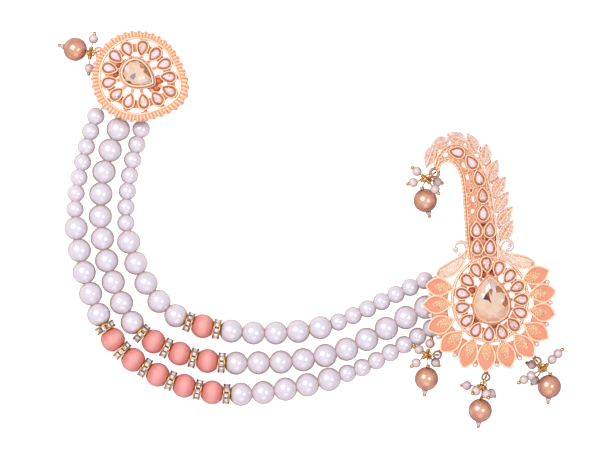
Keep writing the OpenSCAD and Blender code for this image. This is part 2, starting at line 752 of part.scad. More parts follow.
// The ball lies on the surface, and its pin slopes down through it to the knob
function ball_at(d) = [DROP_PLACES[d][4], DROP_PLACES[d][5], ball_d / 2];
function ball_axis(d) =
    let (a = DROP_PLACES[d][6]) [cos(a) * cos(PIN_SLOPE), sin(a) * cos(PIN_SLOPE), -sin(PIN_SLOPE)];
function ball_neck(d) = ball_at(d) - (ball_d / 2 + 0.6) * ball_axis(d);
function ball_tail(d) = ball_at(d) + (ball_d / 2 + tail_out) * ball_axis(d);
function ball_knob(d) = ball_at(d) + (ball_d / 2 + knob_out) * ball_axis(d);

module drop_ring(d) {
    color(GOLD) placed() wire_ring(ring_middle(d), ring_r(d), ring_wire, ring_axis(d));
}

// A head pin from the knot at from, with its first bead at the given place and n beads in all
module beaded_pin(from, bead, n) {
    reach = norm(bead - from) + seed_d * (n - 0.5) + 0.35;
    rod(past(from, bead, knot_d / 2 - 0.1), past(from, bead, reach), pin_d);
    for (i = [0:n - 1]) ball_on(past(from, bead, norm(bead - from) + i * seed_d * 0.95), bead - from, seed_d, 32);
    ball_on(past(from, bead, reach), bead - from, knob_d);
}

// The pin of the ball: from the knot to a smaller knot above the ball, and straight through its bore
module ball_pin(d) {
    neck_d = 0.9;
    neck = ball_neck(d);
    knob = ball_knob(d);
    if (norm(neck - knot(d)) > 0.9) rod(past(knot(d), neck, knot_d / 2 - 0.1), past(neck, knot(d), 0.3), pin_d);
    ball_on(neck, knob - neck, neck_d);
    rod(past(neck, knob, 0.3), knob, pin_d);
    ball_on(ball_tail(d), knob - neck, tail_bead_d);
    ball_on(knob, knob - neck, knob_d);
}

// The loop on the jump ring, its knot, and all the pins that hang from it
module drop_cluster(d) {
    v = knot(d) - ring_far(d);
    color(OPAL) placed() {
        wire_ring(ring_far(d), carrier_r, pin_d, cross(v, ring_axis(d)));
        translate(knot(d)) rotate(direction(v) + 180) sphere(d = knot_d, $fn = 24);
        for (row = DROP_BEADS[d]) beaded_pin(knot(d), [row[0], row[1], row[2]], row[3]);
        ball_pin(d);
    }
}

module drop_ball(d) {
    color(COPPER) placed() difference() {
        translate(ball_at(d)) sphere(d = ball_d, $fn = 48);
        rod(ball_neck(d), past(ball_at(d), ball_knob(d), ball_d), pin_d + 0.5);
    }
}

feather_plate();
feather_main_stone();
flower_small_stones();
stem_small_stones();
feather_pin_fitting();
round_plate();
round_main_stone();
round_small_stones();
round_pin_fitting();
for (s = [0:2]) {
    pearl_string(s);
    for (i = [1:ROSES[s]])
        rose_bead(of_kind(s, ROSE_BEAD)[i - 1]);
    for (i = [1:ROSES[s] + 1])
        spacer(of_kind(s, SPACER)[i - 1]);
}
for (d = [0:len(DROPS) - 1]) {
    drop_ring(d);
    drop_cluster(d);
    drop_ball(d);
}
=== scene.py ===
"""Looks of a turban ornament: a feather brooch, a round brooch, three strings of pearls and five bead drops.

Sizes and places are millimetres on the ornament's own drawing: X to the right, Y towards the top of the feather,
Z up from the surface. Shape.build moves them to the frame and turns them into metres.
"""

from __future__ import annotations

import logging
from dataclasses import dataclass, field
from enum import Enum
from typing import Sequence

import bpy
import numpy as np
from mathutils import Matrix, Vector


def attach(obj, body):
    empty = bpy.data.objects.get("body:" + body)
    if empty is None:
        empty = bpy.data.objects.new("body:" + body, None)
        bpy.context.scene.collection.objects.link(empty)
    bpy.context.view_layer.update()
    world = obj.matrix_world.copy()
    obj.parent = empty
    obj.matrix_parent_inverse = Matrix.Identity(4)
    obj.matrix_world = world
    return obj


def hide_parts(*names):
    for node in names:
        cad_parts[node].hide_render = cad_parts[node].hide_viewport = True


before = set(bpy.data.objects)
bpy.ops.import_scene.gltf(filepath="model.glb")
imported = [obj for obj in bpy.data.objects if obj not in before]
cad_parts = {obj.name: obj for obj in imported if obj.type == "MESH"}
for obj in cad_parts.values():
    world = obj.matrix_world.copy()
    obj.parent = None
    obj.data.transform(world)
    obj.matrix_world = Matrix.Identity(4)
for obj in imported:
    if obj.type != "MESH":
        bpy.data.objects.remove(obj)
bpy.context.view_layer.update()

Array = np.ndarray
Colour = tuple[float, float, float]
Form = tuple[float, float, float]
Gauge = tuple[float, float, float]
LOG = logging.getLogger("ornament")
MM = 0.001
SHIFT = np.array([0.24, 0.53, 0.0])
PLATE_TOP = 9.5
STONE_BACK = PLATE_TOP + 0.1
FOIL_BACK = PLATE_TOP - 0.02
UP = np.array([0.0, 0.0, 1.0])


def srgb(red: int, green: int, blue: int) -> Colour:
    """Turns a screen colour into a linear one.

    Args:
        red, green, blue: Parts of the screen colour, 0 to 255.

    Returns:
        The linear colour, each part 0 to 1.
    """
    parts = np.array([red, green, blue]) / 255
    linear = np.where(parts > 0.04045, ((parts + 0.055) / 1.055) ** 2.4, parts / 12.92)
    return tuple(float(v) for v in linear)


def shades(*rows: tuple[float, int, int, int]) -> tuple[tuple[float, Colour], ...]:
    """Gives the stops of a ramp.

    Args:
        rows: Each stop's place, 0 to 1, and its screen colour.

    Returns:
        The stops.
    """
    return tuple((place, srgb(*colour)) for place, *colour in rows)


# Plane curves


def unit(v: Array) -> Array:
    """Scales vectors to length one.

    Args:
        v: Vectors along the last axis.

    Returns:
        The same directions with length one.
    """
    return v / np.maximum(np.linalg.norm(v, axis=-1, keepdims=True), 1e-12)


def turned(points: Array, degrees: float | Array) -> Array:
    """Turns plane points about the origin, anticlockwise.

    Args:
        points: Points, shape (..., 2).
        degrees: The angle.

    Returns:
        The turned points.
    """
    a = np.radians(degrees)
    return np.stack([np.cos(a) * points[..., 0] - np.sin(a) * points[..., 1],
                     np.sin(a) * points[..., 0] + np.cos(a) * points[..., 1]], -1)


def polar(degrees: Array | float) -> Array:
    """Gives the plane unit vectors at the given angles, as cosine and sine."""
    a = np.radians(degrees)
    return np.stack([np.cos(a), np.sin(a)], -1)


def angle_of(v: Array) -> Array:
    """Gives the angles in degrees of plane vectors."""
    return np.degrees(np.arctan2(v[..., 1], v[..., 0]))


def smooth(points: Sequence[Sequence[float]], steps: int) -> Array:
    """Draws a smooth curve through points.

    Between two points it is the cubic whose slope at each point is half the chord between its neighbours.

    Args:
        points: The points, with any number of values each.
        steps: Steps between each two points.

    Returns:
        The curve's points, shape (steps * (points - 1) + 1, values).
    """
    p = np.asarray(points, float)
    i = np.arange(len(p) - 1)
    a, b, c, d = (p[k][:, None, :] for k in (np.maximum(i - 1, 0), i, i + 1, np.minimum(i + 2, len(p) - 1)))
    u = (np.arange(steps) / steps)[None, :, None]
    q = 0.5 * (2 * b + (c - a) * u + (2 * a - 5 * b + 4 * c - d) * u**2 + (3 * b - a - 3 * c + d) * u**3)
    return np.vstack([q.reshape(-1, p.shape[1]), p[-1:]])


def spaced(path: Array, pitch: float, closed: bool = False) -> Array:
    """Places points along a path at equal lengths of arc.

    Args:
        path: The path's points.
        pitch: The wanted distance, which is changed a little to fit.
        closed: Whether the path returns to its start.

    Returns:
        Points on the path, without a repeat of the first on a closed one.
    """
    p = np.vstack([path, path[:1]]) if closed else path
    c = np.concatenate([[0], np.cumsum(np.linalg.norm(np.diff(p, axis=0), axis=1))])
    n = max(2, round(c[-1] / pitch))
    s = np.linspace(0, c[-1], n + 1)[: n if closed else n + 1]
    return np.stack([np.interp(s, c, p[:, k]) for k in range(p.shape[1])], -1)


def tangents(path: Array, closed: bool) -> Array:
    """Gives the unit tangent at each point of a path, from the chord between its neighbours.

    Args:
        path: The path's points.
        closed: Whether the path returns to its start.

    Returns:
        The tangents, one a point.
    """
    if closed:
        return unit(np.roll(path, -1, 0) - np.roll(path, 1, 0))
    return unit(np.gradient(path, axis=0))


def offset(path: Array, distance: float, closed: bool = True) -> Array:
    """Moves a plane path to its left side.

    Args:
        path: Plane points.
        distance: How far, in mm. An anticlockwise outline shrinks.
        closed: Whether the path returns to its start.

    Returns:
        The moved points.
    """
    t = tangents(path, closed)
    return path + distance * np.stack([-t[:, 1], t[:, 0]], -1)


def pear(w: float, l: float, n: int = 48, narrowing: float = 0.7) -> Array:
    """Draws a pear with its tip towards +Y.

    At angle t from the tip, y is half the length times cos t, and x is sin t times sin(t / 2) to the power of the
    narrowing, scaled so that the widest place is w.

    Args:
        w: Width.
        l: Length.
        n: Number of points.
        narrowing: How hollow the sides are near the tip.

    Returns:
        The outline, anticlockwise, shape (n, 2).
    """
    t = -2 * np.pi * np.arange(n) / n
    side = np.sin(t) * np.abs(np.sin(t / 2)) ** narrowing
    peak = np.arccos(-narrowing / (2 + narrowing))
    return np.stack([w / 2 * side / (np.sin(peak) * np.sin(peak / 2) ** narrowing), l / 2 * np.cos(t)], -1)


def pear_at(row: Sequence[float], w: float, l: float, grow: float = 0.0, n: int = 48) -> Array:
    """Draws a pear at a place.

    Args:
        row: x, y and the direction of the tip in degrees.
        w: Width.
        l: Length.
        grow: How far the outline is moved outwards.
        n: Number of points.

    Returns:
        The outline, anticlockwise.
    """
    return offset(turned(pear(w, l, n), row[2] - 90), -grow) + np.asarray(row[:2])


def blade_half(t: Array, w: float, peak: float, sharp: float) -> Array:
    """Gives the half width of a pointed blade at the share t of its length: w / 2 times sin(180 t^peak)^sharp."""
    return w / 2 * np.sin(np.pi * np.clip(t, 0, 1) ** peak) ** sharp


def eased(n: int) -> Array:
    """Gives n shares from 0 to 1 that lie closer together near both ends."""
    return (1 - np.cos(np.linspace(0, np.pi, n))) / 2


def beside(root: Array, tip: Array, t: Array, across: Array) -> Array:
    """Places points at shares t of the way from root to tip, and so many mm across to its left."""
    flat = np.stack([np.linalg.norm(tip - root) * t, across], -1)
    return turned(flat, angle_of(tip - root)) + root


def blade_edge(row: Array, form: Form, side: int, t: Array) -> Array:
    """Gives points on one edge of a pointed blade.

    Args:
        row: The x and y of its root, then of its tip.
        form: Its width, peak and sharpness.
        side: 1 for the left edge, looking from root to tip, -1 for the right.
        t: Shares of its length.

    Returns:
        The points.
    """
    return beside(row[:2], row[2:], t, side * blade_half(t, *form))


def blade(root: Array, tip: Array, w: float, peak: float, sharp: float, n: int = 20) -> Array:
    """Draws the outline of a pointed blade.

    Args:
        root, tip: Its ends.
        w: Width at the widest place.
        peak: Past 1 moves the widest place towards the tip.
        sharp: More makes the ends more pointed.
        n: Steps along each side.

    Returns:
        The outline, anticlockwise.
    """
    t = eased(n + 1)
    h = blade_half(t, w, peak, sharp)
    return np.vstack([beside(root, tip, t, -h)[:-1], beside(root, tip, t, h)[:0:-1]])


def band_edges(rows: Array, inset: float = 0.0) -> tuple[Array, Array]:
    """Gives both sides of a band.

    Args:
        rows: Points with x, y and the band's width there.
        inset: How far both sides are moved inwards.

    Returns:
        The left and the right side, each in the band's own direction.
    """
    t = tangents(rows[:, :2], False)
    side = np.stack([-t[:, 1], t[:, 0]], -1) * np.maximum(rows[:, 2:3] / 2 - inset, 0.02)
    return rows[:, :2] + side, rows[:, :2] - side


def lifted(points: Array, z: float | Array) -> Array:
    """Adds heights to plane points."""
    return np.column_stack([points, np.broadcast_to(z, len(points))])


# Surfaces

Mesh = tuple[Array, list[Array]]


def loft(rings: Array, closed: bool = False, ends: Sequence[Array] | None = None) -> Mesh:
    """Joins rings of points into one closed surface.

    Point (r, k) of the grid is point k of ring r. Each ring closes on itself. The grid returns to its first ring,
    or a fan of triangles closes each end. The surface faces outwards when the rings turn anticlockwise as seen
    from ahead.

    Args:
        rings: Points, shape (rings, points, 3).
        closed: Whether the last ring joins the first.
        ends: Middle points of the two fans, or None for the middles of the end rings.

    Returns:
        The vertices and a list of face arrays.
    """
    rows, cols = rings.shape[:2]
    verts = rings.reshape(-1, 3)
    r = np.arange(rows if closed else rows - 1)[:, None]
    c = np.arange(cols)[None, :]
    n = (c + 1) % cols
    s = (r + 1) % rows
    quads = np.stack([r * cols + c, r * cols + n, s * cols + n, s * cols + c], -1).reshape(-1, 4)
    if closed:
        return verts, [quads]
    ends = ends or (rings[0].mean(0), rings[-1].mean(0))
    c, n = c[0], n[0]
    last = (rows - 1) * cols
    first_fan = np.stack([n, c, np.full(cols, len(verts))], -1)
    last_fan = np.stack([last + c, last + n, np.full(cols, len(verts) + 1)], -1)
    return np.vstack([verts, *[np.asarray(e, float)[None] for e in ends]]), [quads, np.vstack([first_fan, last_fan])]


def lathe(profile: Sequence[Sequence[float]], n: int, closed: bool = False) -> Mesh:
    """Turns a profile round the Z axis.

    Point (p, k) is (radius cos a, radius sin a, height), with a going once round in n steps. The profile runs
    upwards on its outer side.

    Args:
        profile: Rows of radius and height. A radius of 0 at an end makes a pole.
        n: Steps round the axis.
        closed: Whether the profile returns to its start, as in a ring.

    Returns:
        The vertices and faces.
    """
    p = np.asarray(profile, float)
    a = 2 * np.pi * np.arange(n) / n
    ends = (np.array([0, 0, p[0, 1]]), np.array([0, 0, p[-1, 1]]))
    if not closed:
        p = p[1 if p[0, 0] < 1e-9 else 0: -1 if p[-1, 0] < 1e-9 else len(p)]
    rings = np.stack([np.outer(p[:, 0], np.cos(a)), np.outer(p[:, 0], np.sin(a)),
                      np.broadcast_to(p[:, 1:2], (len(p), n))], -1)
    return loft(rings, closed, None if closed else ends)


def tube(path: Array, half_w: float | Array, half_h: float | Array, closed: bool = False, sides: int = 8,
         up: Array = UP) -> Mesh:
    """Carries an oval along a path.

    At each point the oval has its width across the path, square to `up`, and its height along `up`: the place is
    the path's point plus half_w cos v times the side plus half_h sin v times the upright.

    Args:
        path: Points, shape (n, 3).
        half_w, half_h: Half width and half height, one value or one a point.
        closed: Whether the path returns to its start.
        sides: Points round the oval.
        up: The direction that is nowhere along the path.

    Returns:
        The vertices and faces.
    """
    t = tangents(path, closed)
    side = unit(np.cross(up, t))
    over = np.cross(t, side)
    v = 2 * np.pi * np.arange(sides) / sides
    w = np.broadcast_to(half_w, len(path))[:, None, None]
    h = np.broadcast_to(half_h, len(path))[:, None, None]
    rings = (path[:, None] + w * np.cos(v)[None, :, None] * side[:, None]
             + h * np.sin(v)[None, :, None] * over[:, None])
    return loft(rings, closed)


def flat_ring(path: Array, half_w: float, half_h: float, z: float, sides: int = 8) -> Mesh:
    """Carries an oval round a closed plane outline at height z."""
    return tube(lifted(path, z), half_w, half_h, True, sides)


def wire(path: Array, half_w: float | Array, half_h: float, z: float, sides: int = 8) -> Mesh:
    """Carries an oval along an open plane path at height z."""
    return tube(lifted(path, z), half_w, half_h, False, sides)


def domed(left: Array, right: Array, z: float | Array, height: float | Array, depth: float,
          across: int) -> Mesh:
    """Fills the space between two edges with a low dome on a flat back.

    Going across, s runs from -1 at the right edge to 1 at the left, and the top is at z + height (1 - s^2).

    Args:
        left, right: Matching points on the two edges, shape (n, 2). They meet or come close at both ends.
        z: Height of the edges, one value or one a row.
        height: Rise of the dome, one value or one a row.
        depth: How far the back lies below the edges.
        across: Points across the dome.

    Returns:
        The vertices and faces.
    """
    s = np.linspace(1, -1, across)
    n = len(left)
    z = np.broadcast_to(z, n)[:, None]
    height = np.broadcast_to(height, n)[:, None]
    plane = (left[:, None] * (1 + s)[None, :, None] + right[:, None] * (1 - s)[None, :, None]) / 2
    top = np.concatenate([plane, (z + height * (1 - s**2)[None])[..., None]], -1)
    back_plane = plane[:, [-1, 0]]
    back = np.concatenate([back_plane, np.broadcast_to(z - depth, (n, 2))[..., None]], -1)
    return loft(np.concatenate([top, back], 1))


def copies(mesh: Mesh, places: Array, frames: Array | None = None, scales: Array | float = 1.0) -> Mesh:
    """Repeats a mesh at many places.

    Vertex j of copy m is the place plus the frame's axes times the scaled vertex.

    Args:
        mesh: The mesh to repeat, round its own origin.
        places: Where, shape (m, 3).
        frames: Axes of each copy as columns, shape (m, 3, 3), or None for upright copies.
        scales: One size, one a copy, or three a copy.

    Returns:
        The vertices and faces of all copies.
    """
    verts, faces = mesh
    m = len(places)
    scales = np.asarray(scales, float)
    scales = np.broadcast_to(scales.reshape(-1, 1) if scales.ndim < 2 else scales, (m, 3))
    frames = np.broadcast_to(np.eye(3), (m, 3, 3)) if frames is None else frames
    out = places[:, None] + np.einsum("mij,mnj->mni", frames, verts[None] * scales[:, None])
    start = (np.arange(m) * len(verts))[:, None, None]
    return out.reshape(-1, 3), [(f[None] + start).reshape(-1, f.shape[1]) for f in faces]


def axes_for(way: Array) -> Array:
    """Gives frames whose Z axis runs the given ways and whose Y axis leans upwards.

    Args:
        way: Directions, shape (m, 3), none of them straight up.

    Returns:
        The frames, axes as columns, shape (m, 3, 3).
    """
    z = unit(way)
    x = unit(np.cross(np.broadcast_to(UP, z.shape), z))
    return np.stack([x, np.cross(z, x), z], -1)


def bead_profile(r: float, hole: float, steps: int, squash: float = 1.0) -> Array:
    """Draws half the section of a drilled bead.

    Between its two rounded mouths it follows a circle: radius r cos b and height r squash sin b. The bore closes
    at the middle, so that the bead is one closed surface.

    Args:
        r: Radius of the bead.
        hole: Radius of the bore.
        steps: Steps from mouth to mouth.
        squash: Length over width.

    Returns:
        The profile, upwards on its outer side.
    """
    b = np.arccos((hole + 0.12) / r)
    t = np.linspace(-b, b, steps)
    round_part = np.stack([r * np.cos(t), r * squash * np.sin(t)], -1)
    mouth = np.array([[hole + 0.03, round_part[0, 1] + 0.02], [hole, round_part[0, 1] + 0.2]])
    low = np.vstack([[[0, round_part[0, 1] + 0.5], [hole * 0.9, round_part[0, 1] + 0.5]], mouth[::-1]])
    return np.vstack([low, round_part, low[::-1] * [1, -1]])


def ball(n: int, rows: int) -> Mesh:
    """Makes a ball of radius 1, with poles on the Z axis.

    Args:
        n: Steps round the axis.
        rows: Steps from pole to pole.

    Returns:
        The vertices and faces.
    """
    t = np.linspace(-np.pi / 2, np.pi / 2, rows + 1)
    profile = np.stack([np.cos(t), np.sin(t)], -1)
    profile[[0, -1], 0] = 0
    return lathe(profile, n)


GRAIN = ball(6, 4)


class Shape:
    """Collects meshes, in millimetres, that become one piece."""

    def __init__(self) -> None:
        """Starts empty."""
        self.verts: list[Array] = []
        self.faces: list[Array] = []
        self.slots: list[Array] = []
        self.smooth: list[Array] = []
        self.facet: list[Array] = []
        self.tone: list[Array] = []
        self.count = 0

    def add(self, mesh: Mesh, slot: int = 0, smooth: bool = True, tone: float | Array = 0.5,
            facet: float | Sequence[Array] = 0.5) -> Shape:
        """Adds a mesh.

        Args:
            mesh: Vertices and faces.
            slot: Which of the piece's finishes it has.
            smooth: Whether its faces are shaded as one rounded surface.
            tone: A value for the finish, one for all vertices or one each.
            facet: A value for the finish, one for all faces or one array for each face array.

        Returns:
            The shape itself.
        """
        verts, faces = mesh
        self.verts.append(verts)
        self.tone.append(np.broadcast_to(tone, len(verts)))
        for i, f in enumerate(faces):
            self.faces.append(f + self.count)
            self.slots.append(np.full(len(f), slot))
            self.smooth.append(np.full(len(f), smooth))
            self.facet.append(np.broadcast_to(facet if np.isscalar(facet) else facet[i], len(f)))
        self.count += len(verts)
        return self

    def build(self, name: str, slot: str, finishes: Sequence[Finish],
              replaced: Sequence[str] = ()) -> None:
        """Makes the Blender object, at the origin, with its place in its mesh.

        Args:
            name: The piece's name.
            slot: The record's material slot. It is not used.
            finishes: Its finishes, in the order of the slots used in add.
            replaced: CAD nodes that the piece stands for.
        """
        mesh = bpy.data.meshes.new(name)
        verts = (np.vstack(self.verts) + SHIFT) * MM
        mesh.vertices.add(len(verts))
        mesh.vertices.foreach_set("co", verts.ravel())
        totals = np.concatenate([np.full(len(f), f.shape[1]) for f in self.faces])
        loops = np.concatenate([f.ravel() for f in self.faces])
        mesh.loops.add(len(loops))
        mesh.loops.foreach_set("vertex_index", loops)
        mesh.polygons.add(len(totals))
        mesh.polygons.foreach_set("loop_start", np.concatenate([[0], np.cumsum(totals)[:-1]]))
        mesh.polygons.foreach_set("material_index", np.concatenate(self.slots))
        mesh.polygons.foreach_set("use_smooth", np.concatenate(self.smooth))
        mesh.update(calc_edges=True)
        for label, domain, values in (("tone", "POINT", self.tone), ("facet", "FACE", self.facet)):
            mesh.attributes.new(label, "FLOAT", domain).data.foreach_set("value", np.concatenate(values))
        for finish in finishes:
            mesh.materials.append(finish.material())
        piece = bpy.data.objects.new(name, mesh)
        bpy.context.scene.collection.objects.link(piece)
        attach(piece, "root")
        if replaced:
            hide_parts(*replaced)
        LOG.info("%s: %d faces", name, len(totals))


# Finishes


class Wiring:
    """Adds nodes to a tree and links them."""

    def __init__(self, tree: bpy.types.NodeTree) -> None:
        """Keeps the tree.

        Args:
            tree: The node tree of a material or group.
        """
        self.tree = tree

    def node(self, kind: str, values: dict[str | int, object] | None = None, **settings: object) -> bpy.types.Node:
        """Adds a node.

        Args:
            kind: The node's type, without "ShaderNode".
            values: Input names or numbers, each with a value or an output to link from.
            settings: The node's own properties.

        Returns:
            The node.
        """
        made = self.tree.nodes.new(kind if kind.startswith("Node") else "ShaderNode" + kind)
        for key, value in settings.items():
            setattr(made, key, value)
        self.feed(made, values or {})
        return made

    def feed(self, node: bpy.types.Node, values: dict[str | int, object]) -> None:
        """Links or sets a node's inputs.

        Args:
            node: The node.
            values: Input names or numbers, each with a value or an output to link from.
        """
        for key, value in values.items():
            target = node.inputs[key]
            if isinstance(value, bpy.types.NodeSocket):
                self.tree.links.new(value, target)
            else:
                target.default_value = (*value, 1.0) if target.type == "RGBA" else value

    def group(self, kind: Group, values: dict[str | int, object]) -> bpy.types.Node:
        """Places a shared effect with its own values.

        Args:
            kind: Which effect.
            values: Its inputs.

        Returns:
            The group node.
        """
        made = self.tree.nodes.new("ShaderNodeGroup")
        made.node_tree = shared(kind)
        self.feed(made, values)
        return made

    def mix(self, factor: object, a: object, b: object) -> bpy.types.NodeSocket:
        """Mixes two colours and returns the output."""
        return self.node("Mix", {0: factor, 6: a, 7: b}, data_type="RGBA").outputs[2]

    def math(self, operation: str, a: object, b: object = 0.0) -> bpy.types.NodeSocket:
        """Does arithmetic on two values and returns the output."""
        return self.node("Math", {0: a, 1: b}, operation=operation).outputs[0]

    def between(self, value: object, low: object, high: object) -> bpy.types.NodeSocket:
        """Turns low to high into 0 to 1, smoothly, and returns the output."""
        return self.node("MapRange", {"Value": value, "From Min": low, "From Max": high},
                         interpolation_type="SMOOTHSTEP").outputs["Result"]

    def noise(self, scale: object, detail: object = 2.0) -> bpy.types.NodeSocket:
        """Reads a noise on the object coordinates and returns its value."""
        return self.node("TexNoise", {"Vector": self.place(), "Scale": scale, "Detail": detail}).outputs[0]

    def value(self, name: str) -> bpy.types.NodeSocket:
        """Reads one of the mesh's own values, tone or facet."""
        return self.node("Attribute", attribute_name=name).outputs["Fac"]

    def place(self) -> bpy.types.NodeSocket:
        """Reads the object coordinates."""
        return self.node("TexCoord").outputs["Object"]

    def facing(self) -> bpy.types.NodeSocket:
        """Reads how far the surface turns away: 0 head on, 1 edge on."""
        return self.node("LayerWeight", {"Blend": 0.5}).outputs["Facing"]

    def ramp(self, factor: object, stops: Sequence[tuple[float, Colour]]) -> bpy.types.NodeSocket:
        """Turns a value into a colour.

        Args:
            factor: The value.
            stops: Places from 0 to 1 with a colour each, in order.

        Returns:
            The colour output.
        """
        made = self.node("ValToRGB", {0: factor})
        marks = made.color_ramp.elements
        marks[0].position, marks[0].color = stops[0][0], (*stops[0][1], 1.0)
        marks[1].position, marks[1].color = stops[-1][0], (*stops[-1][1], 1.0)
        for place, colour in stops[1:-1]:
            marks.new(place).color = (*colour, 1.0)
        return made.outputs[0]

    def bump(self, height: object, strength: float, distance: float) -> bpy.types.NodeSocket:
        """Makes a bumped normal from a height, with the bumps' depth in metres."""
        return self.node("Bump", {"Height": height, "Strength": strength, "Distance": distance}).outputs[0]


class Group(Enum):
    """Effects that several finishes share."""

    SHADE_AND_HIGHLIGHT = "hollow_and_raised"
    GRAIN = "fine_grain"


def shared(kind: Group) -> bpy.types.NodeTree:
    """Gives a shared effect, which is built when it is first asked for.

    SHADE_AND_HIGHLIGHT mixes a colour of painted shade for hollows into one of painted highlight for raised places,
    by height above the surface, broken up by noise.
    GRAIN is a noise for bumps, and the same noise drawn out into a mask.

    Args:
        kind: Which effect.

    Returns:
        The node group.
    """
    if kind.value in bpy.data.node_groups:
        return bpy.data.node_groups[kind.value]
    tree = bpy.data.node_groups.new(kind.value, "ShaderNodeTree")
    w = Wiring(tree)
    painted_light = kind is Group.SHADE_AND_HIGHLIGHT
    inputs = [("Low", "Float"), ("High", "Float"), ("Broken", "Float"), ("Hollow", "Color"), ("Raised", "Color")]
    outputs = [("Colour", "Color"), ("Mask", "Float")]
    if not painted_light:
        inputs, outputs = [("Scale", "Float"), ("Detail", "Float")], [("Height", "Float"), ("Mask", "Float")]
    for way, sockets in (("INPUT", inputs), ("OUTPUT", outputs)):
        for name, sort in sockets:
            tree.interface.new_socket(name, in_out=way, socket_type="NodeSocket" + sort)
    given = w.node("NodeGroupInput").outputs
    if painted_light:
        height = w.node("SeparateXYZ", {0: w.place()}).outputs["Z"]
        broken = w.math("MULTIPLY", w.math("SUBTRACT", w.noise(900.0, 3.0), 0.5), given["Broken"])
        mask = w.node("Clamp", {0: w.math("ADD", w.between(height, given["Low"], given["High"]), broken)}).outputs[0]
        w.node("NodeGroupOutput", {"Colour": w.mix(mask, given["Hollow"], given["Raised"]), "Mask": mask})
    else:
        noise = w.noise(given["Scale"], given["Detail"])
        w.node("NodeGroupOutput", {"Height": noise, "Mask": w.between(noise, 0.4, 0.65)})
    return tree


@dataclass(frozen=True)
class Finish:
    """What all finishes share: a name, and the constants of the Principled shader."""

    name: str
    metallic: float = 0.0
    roughness: float = 0.4
    coat: float = 0.0
    coat_roughness: float = 0.05
    ior: float = 1.5

    def material(self) -> bpy.types.Material:
        """Gives the material, which is made when it is first asked for.

        Returns:
            The material with its nodes.
        """
        if self.name in bpy.data.materials:
            return bpy.data.materials[self.name]
        made = bpy.data.materials.new(self.name)
        made.use_nodes = True
        made.node_tree.nodes.clear()
        w = Wiring(made.node_tree)
        shader = w.node("BsdfPrincipled", {"Metallic": self.metallic, "Roughness": self.roughness,
                                           "Coat Weight": self.coat, "Coat Roughness": self.coat_roughness,
                                           "IOR": self.ior})
        w.node("OutputMaterial", {"Surface": shader.outputs[0]})
        w.feed(shader, self.pattern(w))
        return made

    def pattern(self, w: Wiring) -> dict[str | int, object]:
        """Gives what changes over the surface. Each finish has its own.

        Args:
            w: The material's wiring.

        Returns:
            Outputs and constants by the shader's input names.
        """
        return {}


@dataclass(frozen=True)
class Cast(Finish):
    """Cast matt metal whose colour is painted by height: painted shade darkens its hollows and a painted highlight
    lightens its raised edges.
    """

    # hollow is the colour of painted shade low down, raised the colour of painted highlight high up.
    hollow: Colour = (0.5, 0.2, 0.1)
    raised: Colour = (0.9, 0.6, 0.4)
    low: float = 9.3
    high: float = 10.2
    broken: float = 0.5
    grain: float = 2600.0
    depth: float = 0.00005

    def pattern(self, w: Wiring) -> dict[str | int, object]:
        """Colours by height with painted shade and painted highlight, and roughens and bumps with grain.

        Args:
            w: The material's wiring.

        Returns:
            Outputs and constants by the shader's input names.
        """
        painted_light = w.group(Group.SHADE_AND_HIGHLIGHT, {"Low": self.low * MM, "High": self.high * MM, "Broken": self.broken,
                                    "Hollow": self.hollow, "Raised": self.raised})
        grain = w.group(Group.GRAIN, {"Scale": self.grain, "Detail": 4.0})
        rough = w.math("ADD", w.math("MULTIPLY", grain.outputs["Mask"], 0.16), self.roughness - 0.08)
        return {"Base Color": painted_light.outputs["Colour"], "Roughness": rough,
                "Normal": w.bump(grain.outputs["Height"], 0.5, self.depth)}


@dataclass(frozen=True)
class Enamel(Finish):
    """Fired enamel, a little cloudy, with painted shade that makes it darker and more orange near the rims."""

    enamel_colour: Colour = (0.8, 0.3, 0.2)
    # thin is the colour of painted shade near the rims.
    thin: Colour = (0.85, 0.35, 0.15)

    def pattern(self, w: Wiring) -> dict[str | int, object]:
        """Mixes by the mesh's tone, which is 0 at the rim and 1 in the middle, and a soft noise, so that the rims
        get the colour of painted shade.

        Args:
            w: The material's wiring.

        Returns:
            Outputs and constants by the shader's input names.
        """
        cloud = w.math("ADD", w.math("MULTIPLY", w.noise(420.0, 3.0), 1.1), -0.55)
        mask = w.between(w.math("ADD", w.value("tone"), cloud), 0.05, 0.75)
        grain = w.group(Group.GRAIN, {"Scale": 1500.0, "Detail": 2.0})
        return {"Base Color": w.mix(mask, self.thin, self.enamel_colour),
                "Normal": w.bump(grain.outputs["Height"], 0.25, 0.00003)}


@dataclass(frozen=True)
class Toned(Finish):
    """A finish that runs through a ramp of colours by a mesh value, with some noise added."""

    stops: tuple[tuple[float, Colour], ...] = ((0.0, (0.5, 0.5, 0.5)), (1.0, (0.8, 0.8, 0.8)))
    source: str = "tone"
    cloud: float = 0.2
    scale: float = 900.0
    grain: float = 0.0

    def pattern(self, w: Wiring) -> dict[str | int, object]:
        """Adds the noise to the mesh value and looks the colour up.

        Args:
            w: The material's wiring.

        Returns:
            Outputs and constants by the shader's input names.
        """
        noise = w.math("MULTIPLY", w.math("SUBTRACT", w.noise(self.scale, 2.0), 0.5), self.cloud)
        found = {"Base Color": w.ramp(w.math("ADD", w.value(self.source), noise), self.stops)}
        if self.grain:
            grain = w.group(Group.GRAIN, {"Scale": 3000.0, "Detail": 3.0})
            found["Normal"] = w.bump(grain.outputs["Height"], 0.4, self.grain)
        return found


